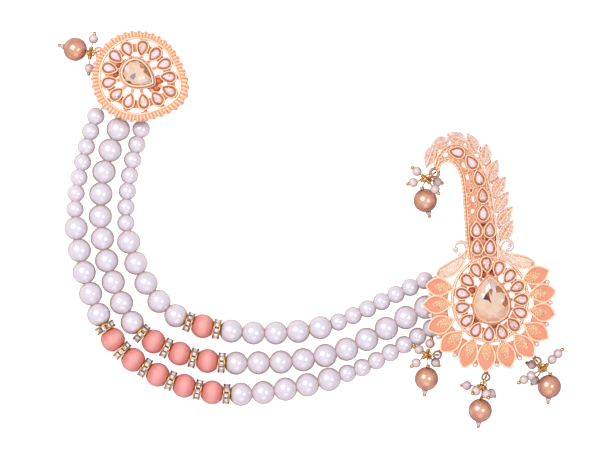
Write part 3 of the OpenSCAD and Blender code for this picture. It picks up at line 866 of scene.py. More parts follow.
@dataclass(frozen=True)
class EdgeShadedGloss(Finish):
    """A coated bead or polished metal, whose colour deepens with painted shade where it turns away, with a faint
    cloud.
    """

    # middle is the colour seen head on; slope and edge are painted shade where the surface turns away.
    middle: Colour = (0.8, 0.8, 0.8)
    slope: Colour = (0.7, 0.7, 0.7)
    edge: Colour = (0.5, 0.5, 0.5)
    cloudy: Colour = (0.8, 0.7, 0.8)
    cloud: float = 0.3
    scale: float = 160.0
    grain: float = 0.00001

    def pattern(self, w: Wiring) -> dict[str | int, object]:
        """Looks the colour up by how far the surface turns away, painting shade towards the edges, and mixes the
        cloud in.

        Args:
            w: The material's wiring.

        Returns:
            Outputs and constants by the shader's input names.
        """
        away = w.facing()
        edge_shaded = w.ramp(away, ((0.0, self.middle), (0.42, self.slope), (0.7, self.edge)))
        mask = w.math("MULTIPLY", w.between(w.noise(self.scale, 1.0), 0.4, 0.7), self.cloud)
        grain = w.group(Group.GRAIN, {"Scale": 2200.0, "Detail": 2.0})
        rim = w.between(away, 0.45, 0.85)
        return {"Base Color": w.mix(mask, edge_shaded, self.cloudy),
                "Coat Weight": w.math("MULTIPLY", w.math("SUBTRACT", 1.0, rim), self.coat),
                "Normal": w.bump(grain.outputs["Height"], 0.3, self.grain)}


@dataclass(frozen=True)
class Frosted(Finish):
    """A tumbled translucent resin bead, with painted shade that makes it redder and darker at its edges, and a hazy
    band round the middle.
    """

    body: Colour = (0.9, 0.3, 0.25)
    edge: Colour = (0.8, 0.2, 0.15)
    haze: Colour = (0.95, 0.5, 0.45)
    radius: float = 0.0012

    def pattern(self, w: Wiring) -> dict[str | int, object]:
        """Mixes body, haze and edge, and lets some light through.

        Args:
            w: The material's wiring.

        Returns:
            Outputs and constants by the shader's input names.
        """
        body = w.mix(w.between(w.value("tone"), 0.35, 0.9), self.body, self.haze)
        # Painted shade: the edge colour takes over where the surface turns away.
        away = w.ramp(w.facing(), ((0.35, (0.0, 0.0, 0.0)), (0.95, (1.0, 1.0, 1.0))))
        grain = w.group(Group.GRAIN, {"Scale": 5200.0, "Detail": 3.0})
        return {"Base Color": w.mix(away, body, self.edge), "Subsurface Weight": 0.45,
                "Subsurface Radius": (self.radius, self.radius * 0.35, self.radius * 0.3),
                "Subsurface Scale": 1.0, "Normal": w.bump(grain.outputs["Height"], 0.6, 0.00003)}


# The Cast finishes paint shade into hollows and a highlight onto raised places; the steel fittings get painted shade
# towards their undersides.
ROSE_CAST = Cast("rose_gold_painted_light", metallic=0.3, roughness=0.45, hollow=srgb(220, 134, 98),
                 raised=srgb(250, 188, 150), low=8.9, high=10.3, broken=1.5)
WIRE = Cast("pale_wire", metallic=0.3, roughness=0.38, hollow=srgb(216, 140, 102), raised=srgb(255, 222, 190),
            low=9.3, high=9.98)
SILVERED = Cast("silvered_wire", metallic=0.4, roughness=0.36, hollow=srgb(146, 108, 94),
                raised=srgb(234, 212, 200), low=9.3, high=10.0)
# The fluted rim gets a painted highlight on its crests and painted shade in its grooves and underneath, by the
# mesh's tone.
FLUTED = Toned("fluted_cast", metallic=0.3, roughness=0.42, cloud=0.35, grain=0.00004,
               stops=shades((0.0, 212, 116, 88), (0.4, 238, 156, 124), (0.7, 250, 186, 150),
                            (1.0, 252, 210, 176)))
ENAMEL = Enamel("salmon_enamel", roughness=0.34, coat=0.3, coat_roughness=0.15, enamel_colour=srgb(231, 149, 120),
                thin=srgb(222, 130, 86))
SEED = Toned("milgrain", metallic=0.35, roughness=0.38, cloud=0.25,
             stops=shades((0.0, 218, 144, 98), (0.35, 244, 192, 146), (0.7, 252, 224, 188),
                          (1.0, 255, 242, 222)))
SILVER_SEED = Toned("silver_milgrain", metallic=0.4, roughness=0.34, cloud=0.4, scale=1800.0,
                    stops=shades((0.0, 150, 116, 106), (0.3, 222, 196, 184), (0.55, 246, 234, 228),
                                 (1.0, 255, 250, 246)))
LEAF_GROUND = Toned("leaf_ground", metallic=0.2, roughness=0.5, cloud=1.3, scale=1300.0,
                    stops=shades((0.0, 146, 84, 64), (0.35, 206, 138, 112), (0.7, 238, 188, 166),
                                 (1.0, 250, 222, 206)))
PALE_GROUND = Toned("paisley_ground", metallic=0.2, roughness=0.45, cloud=0.9, scale=1500.0,
                    stops=shades((0.0, 176, 104, 84), (0.3, 224, 176, 152), (0.6, 244, 214, 194),
                                 (1.0, 252, 236, 222)))
# Dark discs of painted shade, laid in the deep places between stones.
PAINTED_SHADE = Toned("painted_shade", metallic=0.2, roughness=0.5, cloud=0.6,
               stops=shades((0.0, 110, 45, 25), (0.5, 170, 80, 45), (1.0, 215, 120, 80)))
# Amber foil, whose darker tones are painted shade in the gap between stone and bezel.
FOIL_AND_SHADE = Toned("amber_foil_and_shade", metallic=0.2, roughness=0.3, cloud=0.6, scale=700.0,
             stops=shades((0.0, 96, 48, 26), (0.5, 184, 100, 54), (1.0, 224, 150, 98)))
OPAL = Toned("milky_glass", roughness=0.12, coat=1.0, coat_roughness=0.03, source="facet", cloud=0.55, scale=620.0,
             stops=shades((0.0, 148, 106, 100), (0.12, 200, 160, 148), (0.3, 230, 200, 190),
                          (0.48, 242, 226, 218), (0.62, 230, 202, 226), (0.74, 236, 212, 198),
                          (0.9, 252, 242, 238), (1.0, 255, 252, 250)))
CRYSTAL = Toned("champagne_glass", roughness=0.06, coat=1.0, coat_roughness=0.02, source="facet", cloud=0.08,
                scale=500.0,
                stops=shades((0.0, 70, 36, 18), (0.1, 128, 78, 46), (0.2, 196, 124, 70),
                             (0.35, 224, 178, 146), (0.5, 232, 200, 174), (0.62, 208, 190, 184),
                             (0.74, 128, 132, 150), (0.86, 224, 210, 226), (1.0, 250, 232, 206)))
# PEARL, YELLOW, HUB, COPPER and DROP_BEAD darken towards their edges with painted shade.
PEARL = EdgeShadedGloss("pearl_lustre", roughness=0.2, coat=1.0, coat_roughness=0.08, ior=2.1, middle=srgb(224, 219, 228),
               slope=srgb(213, 204, 214), edge=srgb(190, 150, 114), cloudy=srgb(230, 212, 226), cloud=0.5)
ROSE = Frosted("frosted_rose", roughness=0.42, body=srgb(224, 136, 130), edge=srgb(214, 112, 104),
               haze=srgb(236, 166, 160))
YELLOW = EdgeShadedGloss("yellow_gold", metallic=0.85, roughness=0.24, middle=srgb(240, 190, 112), slope=srgb(206, 146, 70),
                edge=srgb(120, 70, 26), cloudy=srgb(196, 132, 74), cloud=0.5, scale=500.0)
# The hub is gold darkened with painted shade, for the gaps between the spacers' stones.
HUB = EdgeShadedGloss("hub_gold_in_painted_shade", metallic=0.6, roughness=0.4, middle=srgb(110, 70, 36), slope=srgb(84, 50, 26),
             edge=srgb(56, 32, 16), cloudy=srgb(130, 84, 46), cloud=0.4, scale=600.0)
RHINESTONE = Toned("clear_rhinestone", roughness=0.05, coat=1.0, coat_roughness=0.02, source="facet", cloud=0.1,
                   stops=shades((0.0, 96, 88, 92), (0.25, 170, 166, 172), (0.55, 222, 220, 224),
                                (1.0, 255, 255, 255)))
COPPER = EdgeShadedGloss("copper_lacquer", metallic=0.35, roughness=0.22, coat=0.5, coat_roughness=0.08,
                middle=srgb(234, 178, 148), slope=srgb(194, 118, 88), edge=srgb(124, 60, 38),
                cloudy=srgb(244, 200, 174), cloud=0.4, scale=260.0)
DROP_BEAD = EdgeShadedGloss("lilac_bead", roughness=0.26, coat=0.6, coat_roughness=0.1, middle=srgb(228, 210, 208),
                   slope=srgb(206, 182, 180), edge=srgb(150, 114, 106), cloudy=srgb(216, 188, 186), cloud=0.4,
                   scale=420.0)
THREAD = Toned("white_thread", roughness=0.7, cloud=0.3, scale=2500.0, grain=0.00004,
               stops=shades((0.0, 196, 180, 170), (1.0, 240, 232, 226)))
STEEL = Cast("plated_steel", metallic=0.85, roughness=0.32, hollow=srgb(176, 140, 96), raised=srgb(220, 186, 132),
             low=0.0, high=8.0, grain=1800.0)


def clothe(node: str, finish: Finish) -> None:
    """Gives a CAD node its finish.

    Args:
        node: The node's name.
        finish: The finish.
    """
    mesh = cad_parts[node].data
    mesh.materials.clear()
    mesh.materials.append(finish.material())
    LOG.info("%s keeps its CAD shape", node)


# Where things lie: millimetres on the drawing, angles anticlockwise from +X

FLOWER = np.array([59.5, -23.7])
MAIN_AT = np.array([59.9, -23.9])
ROUND = np.array([-57.4, 51.0])
ROUND_MAIN_AT = np.array([-57.7, 51.1])
ROUND_TIP = -25.0

# Petals of the flower: root x, root y, tip x, tip y
PETALS = np.array([
    [47.9, -20.1, 37.8, -19.2], [47.4, -25.5, 36.9, -25.5], [48.1, -30.3, 38.5, -33.8], [50.8, -33.9, 42.9, -41.2],
    [54.4, -36, 50.4, -46.9], [58.6, -36.7, 57.9, -48.2], [63.1, -36.5, 66.3, -47], [67.2, -34.7, 74.1, -43.3],
    [70.3, -31.6, 79.1, -36.9], [71.9, -27.1, 81.5, -28.9], [71.6, -22.5, 81.7, -21], [69.5, -17.9, 79.4, -14]])
# Small stones of the flower and of the round brooch, from the top round to the right: x, y
FLOWER_STONES = np.array([
    [58.3, -12.1], [62.4, -13.6], [65.9, -16.1], [68.4, -19.7], [69.7, -23.8], [69.4, -28.1], [67.2, -32.1],
    [63.4, -34.6], [59.1, -35.2], [54.9, -33.9], [51.9, -30.7], [50.4, -26.5], [50.5, -21.9], [52.1, -17.6],
    [54.9, -14.2]])
ROUND_STONES = np.array([
    [-61.3, 59.5], [-56.3, 59.9], [-52.2, 57.8], [-49.2, 54.5], [-47.7, 50.3], [-47.4, 45.7], [-51.4, 43.2],
    [-55.9, 42.2], [-60.8, 42.4], [-64.9, 44.6], [-67.3, 48.5], [-67.3, 53.2], [-65.2, 57.1]])


# Small stones of the stem: x, y, direction of the tip
STEM_STONES = np.array([
    [48.4, 25.2, 170], [53.3, 21.9, 126], [55.8, 16.6, 104], [57, 10.8, 94], [57.2, 4.9, 90], [55, -0.6, 92],
    [59.4, -0.6, 88], [55.2, -6.4, 92], [59.5, -6.4, 88]])
# Edges of the stem, from the flower round to the end of the hook: x, y
STEM_INNER = [[52.4, -11], [51.4, -5], [51, 1], [50.6, 7], [50.1, 13], [49.3, 17.6], [47.6, 20.8], [45.3, 21.9],
              [43.4, 21], [42.6, 19]]
STEM_OUTER = [[62.4, -11], [62.1, -4], [61.4, 4], [60.4, 11], [58.5, 17.4], [55.6, 23], [51.8, 26.8], [48, 28.3],
              [44.6, 27.2], [42, 24.6], [40.6, 21]]
# Small windows through the stem: x, y, width, height, turn
STEM_WINDOWS = np.array([
    [45.8, 28.5, 1.8, 1.6, 30], [51.2, 28.3, 1.4, 1.7, 0], [41.4, 25.6, 1.5, 1.6, 0], [44.6, 24.4, 1.6, 1.3, 20],
    [50.8, 20.9, 1.2, 2, 20], [51.9, 16.9, 0.9, 1.8, 10], [58.6, 21.2, 1, 1.6, 20], [53.9, 9.6, 1, 2, 4],
    [59.3, 8.6, 0.8, 2, 8], [53.6, 5.6, 1, 1.3, 0], [62.3, 11.4, 1, 1.2, 0], [62.8, 6, 1, 1.2, 0],
    [62.7, 0.9, 0.9, 2, -10], [57.2, -3.7, 0.9, 1.2, 0], [53.2, 12.5, 0.8, 1.1, 0], [60.1, 5.4, 0.7, 1.3, 5]])
# Leaves along the stem: root x, root y, tip x, tip y
LEAVES = np.array([
    [62.6, -5, 67.2, 2.7], [61.6, 0.6, 67.2, 7.4], [60.9, 5.2, 65.9, 12.3], [60.2, 10.2, 64.8, 17.4],
    [58.9, 15.4, 61.9, 23], [57.4, 20.6, 58.2, 28.4], [55.2, 24.6, 51.8, 31.8], [51.6, 28.6, 44.8, 31.4],
    [46.2, 29.2, 39.4, 27.2], [41.1, 27.8, 38.2, 19.9]])
# Scrolls of fine wire beside the stones of the stem: x, y, radius, start, sweep
SCROLLS = [
    [44.6, 26.2, 0.9, 200, 250], [43, 23.9, 0.9, 60, 260], [44.2, 22.7, 0.8, 120, 260], [46.6, 23.1, 0.8, 190, 240],
    [49.4, 22.5, 0.8, 20, 250], [51.3, 24.6, 0.7, 150, 240], [50.6, 23.2, 0.6, 10, 240], [51.7, 19.3, 0.8, 240, 250],
    [52.6, 18.2, 0.6, 90, 250], [53.2, 15.3, 0.9, 60, 250], [52.5, 13.9, 0.7, 200, 260], [54.2, 13, 0.7, 300, 250],
    [52.4, 10.9, 0.7, 100, 250], [52.5, 7.9, 0.8, 100, 250], [54.5, 7.6, 0.7, 260, 240], [52.7, 3.7, 0.8, 60, 260],
    [54.4, 2.9, 0.8, 240, 230], [52.7, 1.6, 0.7, 90, 240], [57.3, 19.3, 0.7, 20, 250], [58.3, 17.6, 0.7, 220, 260],
    [58.9, 15.2, 0.8, 60, 260], [58.9, 12.9, 0.7, 250, 240], [57.3, 13.6, 0.5, 90, 240], [60, 10.8, 0.7, 90, 240],
    [59.7, 7.3, 0.6, 0, 260], [58.8, 7.9, 0.6, 160, 240], [60.5, 3.8, 0.8, 30, 260], [59.6, 2.7, 0.7, 210, 240],
    [61, 1.4, 0.6, 90, 240], [57.2, 7.9, 0.5, 180, 200], [54.3, -9.8, 0.6, 40, 240], [60.3, -10, 0.6, 260, 240],
    [57.4, -9.1, 0.6, 60, 260]]
# The two paisleys beside the stem: x, y, width
PAISLEYS = [
    [[41.6, -15.5, 1.6], [43.4, -15, 4.2], [46.4, -13.6, 4.9], [49.1, -11.4, 3.9], [51.1, -9, 2.2],
     [51.9, -6.9, 1.4], [50.9, -5, 1.1], [49.2, -4.7, 1], [47.7, -5.7, 1], [47.6, -7.3, 1], [48.7, -8.1, 0.9]],
    [[74.4, -12.1, 1.8], [72, -11.6, 4.2], [69, -11, 4.7], [65.9, -10.1, 3.8], [63.7, -8.5, 2.4], [62.8, -6.6, 1.5],
     [63.4, -4.8, 1.1], [65.1, -4.1, 1], [66.6, -4.9, 1], [66.9, -6.5, 1], [65.9, -7.5, 0.9]]]
# Balls at the ends of the paisleys' curls: x, y, radius
CURL_BALLS = [[48.3, -6.9, 0.6], [49.2, -9, 0.65], [65.8, -5.8, 0.6], [65.4, -7.3, 0.65]]
# Deep places between the lowest stones of the stem, covered with dark discs of painted shade: x, y, width, height
DEEP_PLACES = [[57.2, 1.4, 1.5, 1.5], [53.4, -3.4, 1, 2], [58.4, -3.4, 1.1, 1.8], [61.1, -3.4, 0.8, 2]]
# Deep places between the stones of the flower and of the round brooch, covered with dark discs of painted shade: x,
# y, width, height
FLOWER_DEEPS = [[53.4, -20.8, 2.6, 2.4], [57.3, -15.4, 2, 2.6], [60.2, -15.2, 2, 2.8], [54.8, -30.6, 2.2, 2.4],
                [61, -32.6, 2.6, 1.9]]
ROUND_DEEPS = [[-64.5, 54.6, 2.6, 2.6], [-65.4, 51.4, 2.6, 2.8], [-51.6, 46.7, 2.8, 2.8], [-50.9, 49, 3.4, 2.2]]
# Facets of the flower's main stone that stand out: x, y, reach, tone
FLOWER_GLINTS = [[58.4, -23.2, 0.9, 0.02], [59.2, -21.5, 0.9, 0.12], [60.6, -20.6, 0.7, 0.88],
                 [63.9, -23.8, 0.9, 1.0], [64.7, -25.3, 0.6, 0.16], [62.7, -20.5, 0.8, 0.18],
                 [63.9, -21.7, 0.8, 0.15], [64.9, -23.3, 0.6, 0.1], [55.3, -20.7, 0.7, 0.05],
                 [55, -23, 0.6, 0.06], [55.2, -25, 0.6, 0.08]]
# The same for the round brooch
ROUND_GLINTS = [[-59.3, 50.5, 0.9, 0.74], [-61.2, 52.9, 1, 0.86], [-56.4, 54.3, 0.8, 0.2], [-54.8, 52.8, 0.9, 0.16],
                [-53.6, 51, 0.7, 0.12], [-56.2, 49.9, 0.9, 1.0], [-59, 47.5, 0.8, 0.04], [-56.5, 47.4, 0.7, 0.06],
                [-61, 48.8, 0.6, 0.08]]


# Lugs below the plates that the strings' end loops go round: left end, right end
LUGS = np.array([[[-68.5, 42], [46, -31]], [[-61.5, 40.5], [44, -25.5]], [[-56, 37.5], [44, -15.5]]])
LUG_Z = 4.6
# Routes of the strings from lug to lug: x, y
ROUTES = [
    [[-68.5, 42], [-72, 37.5], [-76.5, 22], [-79, 6], [-76, -14.5], [-69, -33], [-59.5, -44], [-43, -52.5],
     [-24.5, -55.5], [-2, -52.5], [16, -47], [30, -39.5], [40, -33.5], [46, -31]],
    [[-61.5, 40.5], [-64.5, 33], [-69, 20], [-70.5, 4], [-67.5, -14], [-59.5, -32], [-48.5, -40], [-34, -44.5],
     [-18, -45], [-3, -44], [11.5, -40.5], [25, -33.5], [38, -26.5], [44, -25.5]],
    [[-56, 37.5], [-57, 32.5], [-60.5, 19], [-62, 2], [-58.5, -12], [-50.5, -25], [-40.5, -31.5], [-26, -34.5],
     [-11, -35], [4, -33], [15.5, -28.5], [29.5, -21.5], [39, -17], [44, -15.5]]]


# Drops: eyelet x, y; far side of the jump ring x, y; ball x, y; direction of its knob
DROP_PLACES = {
    "left_drop": [41.9, -42.3, 39.3, -42.3, 38.4, -50.3, -97],
    "bottom_drop": [58.1, -49.7, 57.3, -52.1, 56.3, -60.9, -96],
    "right_drop": [75.2, -44.4, 76.9, -46.2, 79.4, -52.9, -94],
    "hook_drop": [41, 18.3, 38.9, 16.8, 38, 9.2, -75],
    "side_drop": [-70.9, 58.9, -73.1, 58.5, -78.9, 59.7, 166]}
# Small beads of each drop: x, y, z, how many on the pin
DROP_BEADS = {
    "left_drop": [[39.6, -38.6, 4.6, 1], [35.9, -40.6, 5.2, 1], [34.9, -45, 6.4, 1], [41.4, -44.9, 3.4, 1]],
    "bottom_drop": [[51.9, -52.6, 2.8, 1], [54.8, -54.3, 8.6, 1], [60, -55.2, 3.2, 1], [58.3, -55.3, 8.4, 1]],
    "right_drop": [[80.3, -43.9, 5.2, 2], [73.6, -45.6, 3.6, 1], [73.2, -49.2, 7.2, 2], [74.6, -50.9, 2, 1]],
    "hook_drop": [[35.2, 18.9, 5, 1], [34, 15.2, 5.2, 1], [42, 15.4, 3.6, 1], [41.2, 12.9, 7.8, 1]],
    "side_drop": [[-72.8, 63.1, 4.8, 1], [-74.2, 53.3, 4.8, 1]]}


# Stones


def cut_pear(w: float, l: float, base: float, girdle: float, table: float, n: int = 12) -> Mesh:
    """Cuts a pear stone, round its own middle, with its tip towards +Y.

    Rings of points lie at heights from the flat back up to the table: the back, the girdle, a ring half a step
    round at 0.82 of its size, the table's edge at 0.6, and a ring half a step round at 0.3 in the table's plane.
    All shrink towards a place a little way from the tip. Between them are girdle facets, kites, stars and the
    facets that show through the table.

    Args:
        w, l: Width and length of the girdle.
        base, girdle, table: Heights.
        n: Points round it.

    Returns:
        The vertices, and the faces by kind: back, sides, girdle facets, kites, stars, table points, table middles.
    """
    both = pear(w, l, 2 * n)
    heart = np.array([0, -0.1 * l])
    even, odd = both[0::2], both[1::2]
    levels = [(even, 0.94, base), (even, 1.0, girdle), (odd, 0.82, girdle + 0.62 * (table - girdle)),
              (even, 0.6, table), (odd, 0.3, table)]
    verts = np.vstack([lifted(heart + k * (p - heart), z) for p, k, z in levels]
                      + [[[*heart, base]], [[*heart, table]]])
    i = np.arange(n)
    j = (i + 1) % n
    back, rim, half, edge, star = (i + k * n for k in range(5))
    back_j, rim_j, half_j, edge_j, star_j = (j + k * n for k in range(5))
    low, top = 5 * n, 5 * n + 1
    return verts, [
        np.stack([back_j, back, np.full(n, low)], -1), np.stack([back, back_j, rim_j, rim], -1),
        np.stack([rim, rim_j, half], -1), np.stack([half, rim_j, half_j, edge_j], -1),
        np.stack([edge, half, edge_j], -1), np.stack([edge, edge_j, star], -1),
        np.stack([star, edge_j, star_j, np.full(n, top)], -1)]


def spun(degrees: Array | float) -> Array:
    """Gives frames turned about Z by the given angles, axes as columns.

    Args:
        degrees: The angles.

    Returns:
        The frames, shape (m, 3, 3).
    """
    c, s = polar(np.atleast_1d(degrees)).T
    zero, one = np.zeros_like(c), np.ones_like(c)
    return np.stack([np.stack([c, -s, zero], -1), np.stack([s, c, zero], -1), np.stack([zero, zero, one], -1)], 1)


def grains(points: Array, z: float | Array, size: Array | float, high: float = 0.8, turn: Array | float = 0.0,
           stretch: float = 1.0) -> Mesh:
    """Strews milgrain: small low balls.

    Args:
        points: Places, shape (m, 2).
        z: Height of their middles.
        size: Radius, one or one each.
        high: Height over radius.
        turn: Direction of each one's length.
        stretch: Length over width.

    Returns:
        The vertices and faces.
    """
    size = np.broadcast_to(size, len(points))
    frames = spun(np.broadcast_to(turn, len(points)))
    return copies(GRAIN, lifted(points, z), frames, np.stack([size * stretch, size, size * high], -1))


def flat_places(rows: Sequence[Sequence[float]], low: float, high: float) -> Mesh:
    """Makes flat ovals.

    Args:
        rows: Each one's x, y, width and height.
        low, high: Heights of their undersides and tops.

    Returns:
        The mesh.
    """
    x, y, w, h = np.asarray(rows, float).T
    oval = polar(np.arange(0, 360, 24))
    one = loft(np.stack([lifted(oval, 0.0), lifted(oval, 1.0)]))
    size = np.stack([w / 2, h / 2, np.full(len(x), high - low)], -1)
    return copies(one, np.stack([x, y, np.full(len(x), low)], -1), scales=size)


def each(values: Array, mesh: Mesh) -> Array:
    """Repeats one value a copy for all vertices of that copy."""
    return np.repeat(values, len(mesh[0]) // len(values))


@dataclass
class SmallStones:
    """Small pear stones, each on amber foil inside a rolled bezel."""

    name: str
    rows: Array
    replaced: tuple[str, ...]
    seed: int
    seat_w: float = 3.0
    seat_l: float = 4.4
    stone_w: float = 2.65
    stone_l: float = 4.05
    foil_out: float = 0.36
    foil_in: float = -0.12
    foil_top: float = 10.62
    foil_low: float = 10.42
    girdle: float = 10.3
    table: float = 11.05
    bezel_grow: float = 0.48
    bezel_w: float = 0.21
    bezel_h: float = 0.28
    bezel_z: float = 10.55

    def spread(self, mesh: Mesh) -> Mesh:
        """Copies a mesh made for a seat at the origin, with its tip towards +Y, to every seat."""
        return copies(mesh, lifted(self.rows[:, :2], 0.0), spun(self.rows[:, 2] - 90))

    def stones(self) -> None:
        """Builds the stones, each facet with a tone of its own."""
        rng = np.random.default_rng(self.seed)
        one = cut_pear(self.stone_w, self.stone_l, STONE_BACK, self.girdle, self.table, 10)
        mesh = self.spread(one)
        count = len(self.rows)
        base = rng.uniform(0.3, 0.75, count)
        tones = []
        for kind, f in enumerate(mesh[1]):
            own = np.repeat(base, len(f) // count)
            spread = 0.12 if kind < 5 else 0.18
            tones.append(np.clip(own + rng.uniform(-spread, spread, len(f))
                                 - (rng.random(len(f)) < 0.05) * 0.45, 0.02, 1.0))
        Shape().add(mesh, smooth=False, facet=tones).build(self.name, "opal", [OPAL], self.replaced)

    def foils(self, shape: Shape, slot: int) -> None:
        """Adds the sloping amber foil round each stone, as a ring with four sides; its darker tones are painted
        shade between stone and bezel.

        Args:
            shape: Where it goes.
            slot: Its finish there.
        """
        outer = pear_at((0, 0, 90), self.seat_w, self.seat_l, self.foil_out)
        inner = pear_at((0, 0, 90), self.stone_w, self.stone_l, self.foil_in)
        ring = loft(np.stack([lifted(inner, self.foil_low), lifted(outer, self.foil_top),
                              lifted(outer, FOIL_BACK), lifted(inner, FOIL_BACK)], 1), closed=True)
        shape.add(self.spread(ring), slot, tone=0.5)

    def bezels(self, shape: Shape, slot: int) -> None:
        """Adds the rolled bezels.

        Args:
            shape: Where they go.
            slot: Their finish there.
        """
        edge = pear_at((0, 0, 90), self.seat_w, self.seat_l, self.bezel_grow)
        shape.add(self.spread(flat_ring(edge, self.bezel_w, self.bezel_h, self.bezel_z)), slot)


@dataclass
class MainStone:
    """A large foiled pear stone with its bezel."""

    name: str
    at: Array
    tip: float
    w: float
    l: float
    girdle: float
    table: float
    glints: list[list[float]]
    replaced: tuple[str, ...]
    seed: int
    n: int = 14
    foil_out: float = 0.2
    foil_in: float = -0.3
    foil_top: float = 11.34
    foil_slope: float = 0.35

    def outline(self, grow: float, n: int = 72) -> Array:
        """Gives the stone's outline, grown."""
        return pear_at((*self.at, self.tip), self.w, self.l, grow, n)

    def stone(self) -> None:
        """Cuts the stone and tones its facets: greyer to the tip, warmer to the round end, with single glints."""
        rng = np.random.default_rng(self.seed)
        verts, faces = cut_pear(self.w - 0.3, self.l - 0.3, STONE_BACK, self.girdle, self.table, self.n)
        mesh = (lifted(turned(verts[:, :2], self.tip - 90) + self.at, verts[:, 2]), faces)
        ahead = polar(self.tip)
        tones = []
        for spot in (mesh[0][f].mean(1) for f in mesh[1]):
            along = (spot[:, :2] - self.at) @ ahead / self.l
            tone = 0.5 + 0.24 * along + rng.uniform(-0.07, 0.07, len(spot))
            for x, y, reach, value in self.glints:
                tone = np.where(np.linalg.norm(spot[:, :2] - [x, y], axis=1) < reach, value, tone)
            tones.append(np.clip(tone, 0, 1))
        Shape().add(mesh, smooth=False, facet=tones).build(self.name, "crystal", [CRYSTAL], self.replaced)

    def foil(self, shape: Shape, slot: int) -> None:
        """Adds the foil that shows as a thin line inside the bezel, darkened with painted shade where stone and
        bezel meet.

        Args:
            shape: Where it goes.
            slot: Its finish there.
        """
        outer, inner = self.outline(self.foil_out), self.outline(self.foil_in)
        ring = np.stack([lifted(inner, self.foil_top - self.foil_slope), lifted(outer, self.foil_top),
                         lifted(outer, FOIL_BACK), lifted(inner, FOIL_BACK)], 1)
        shape.add(loft(ring, closed=True), slot, tone=0.2)


# The feather brooch


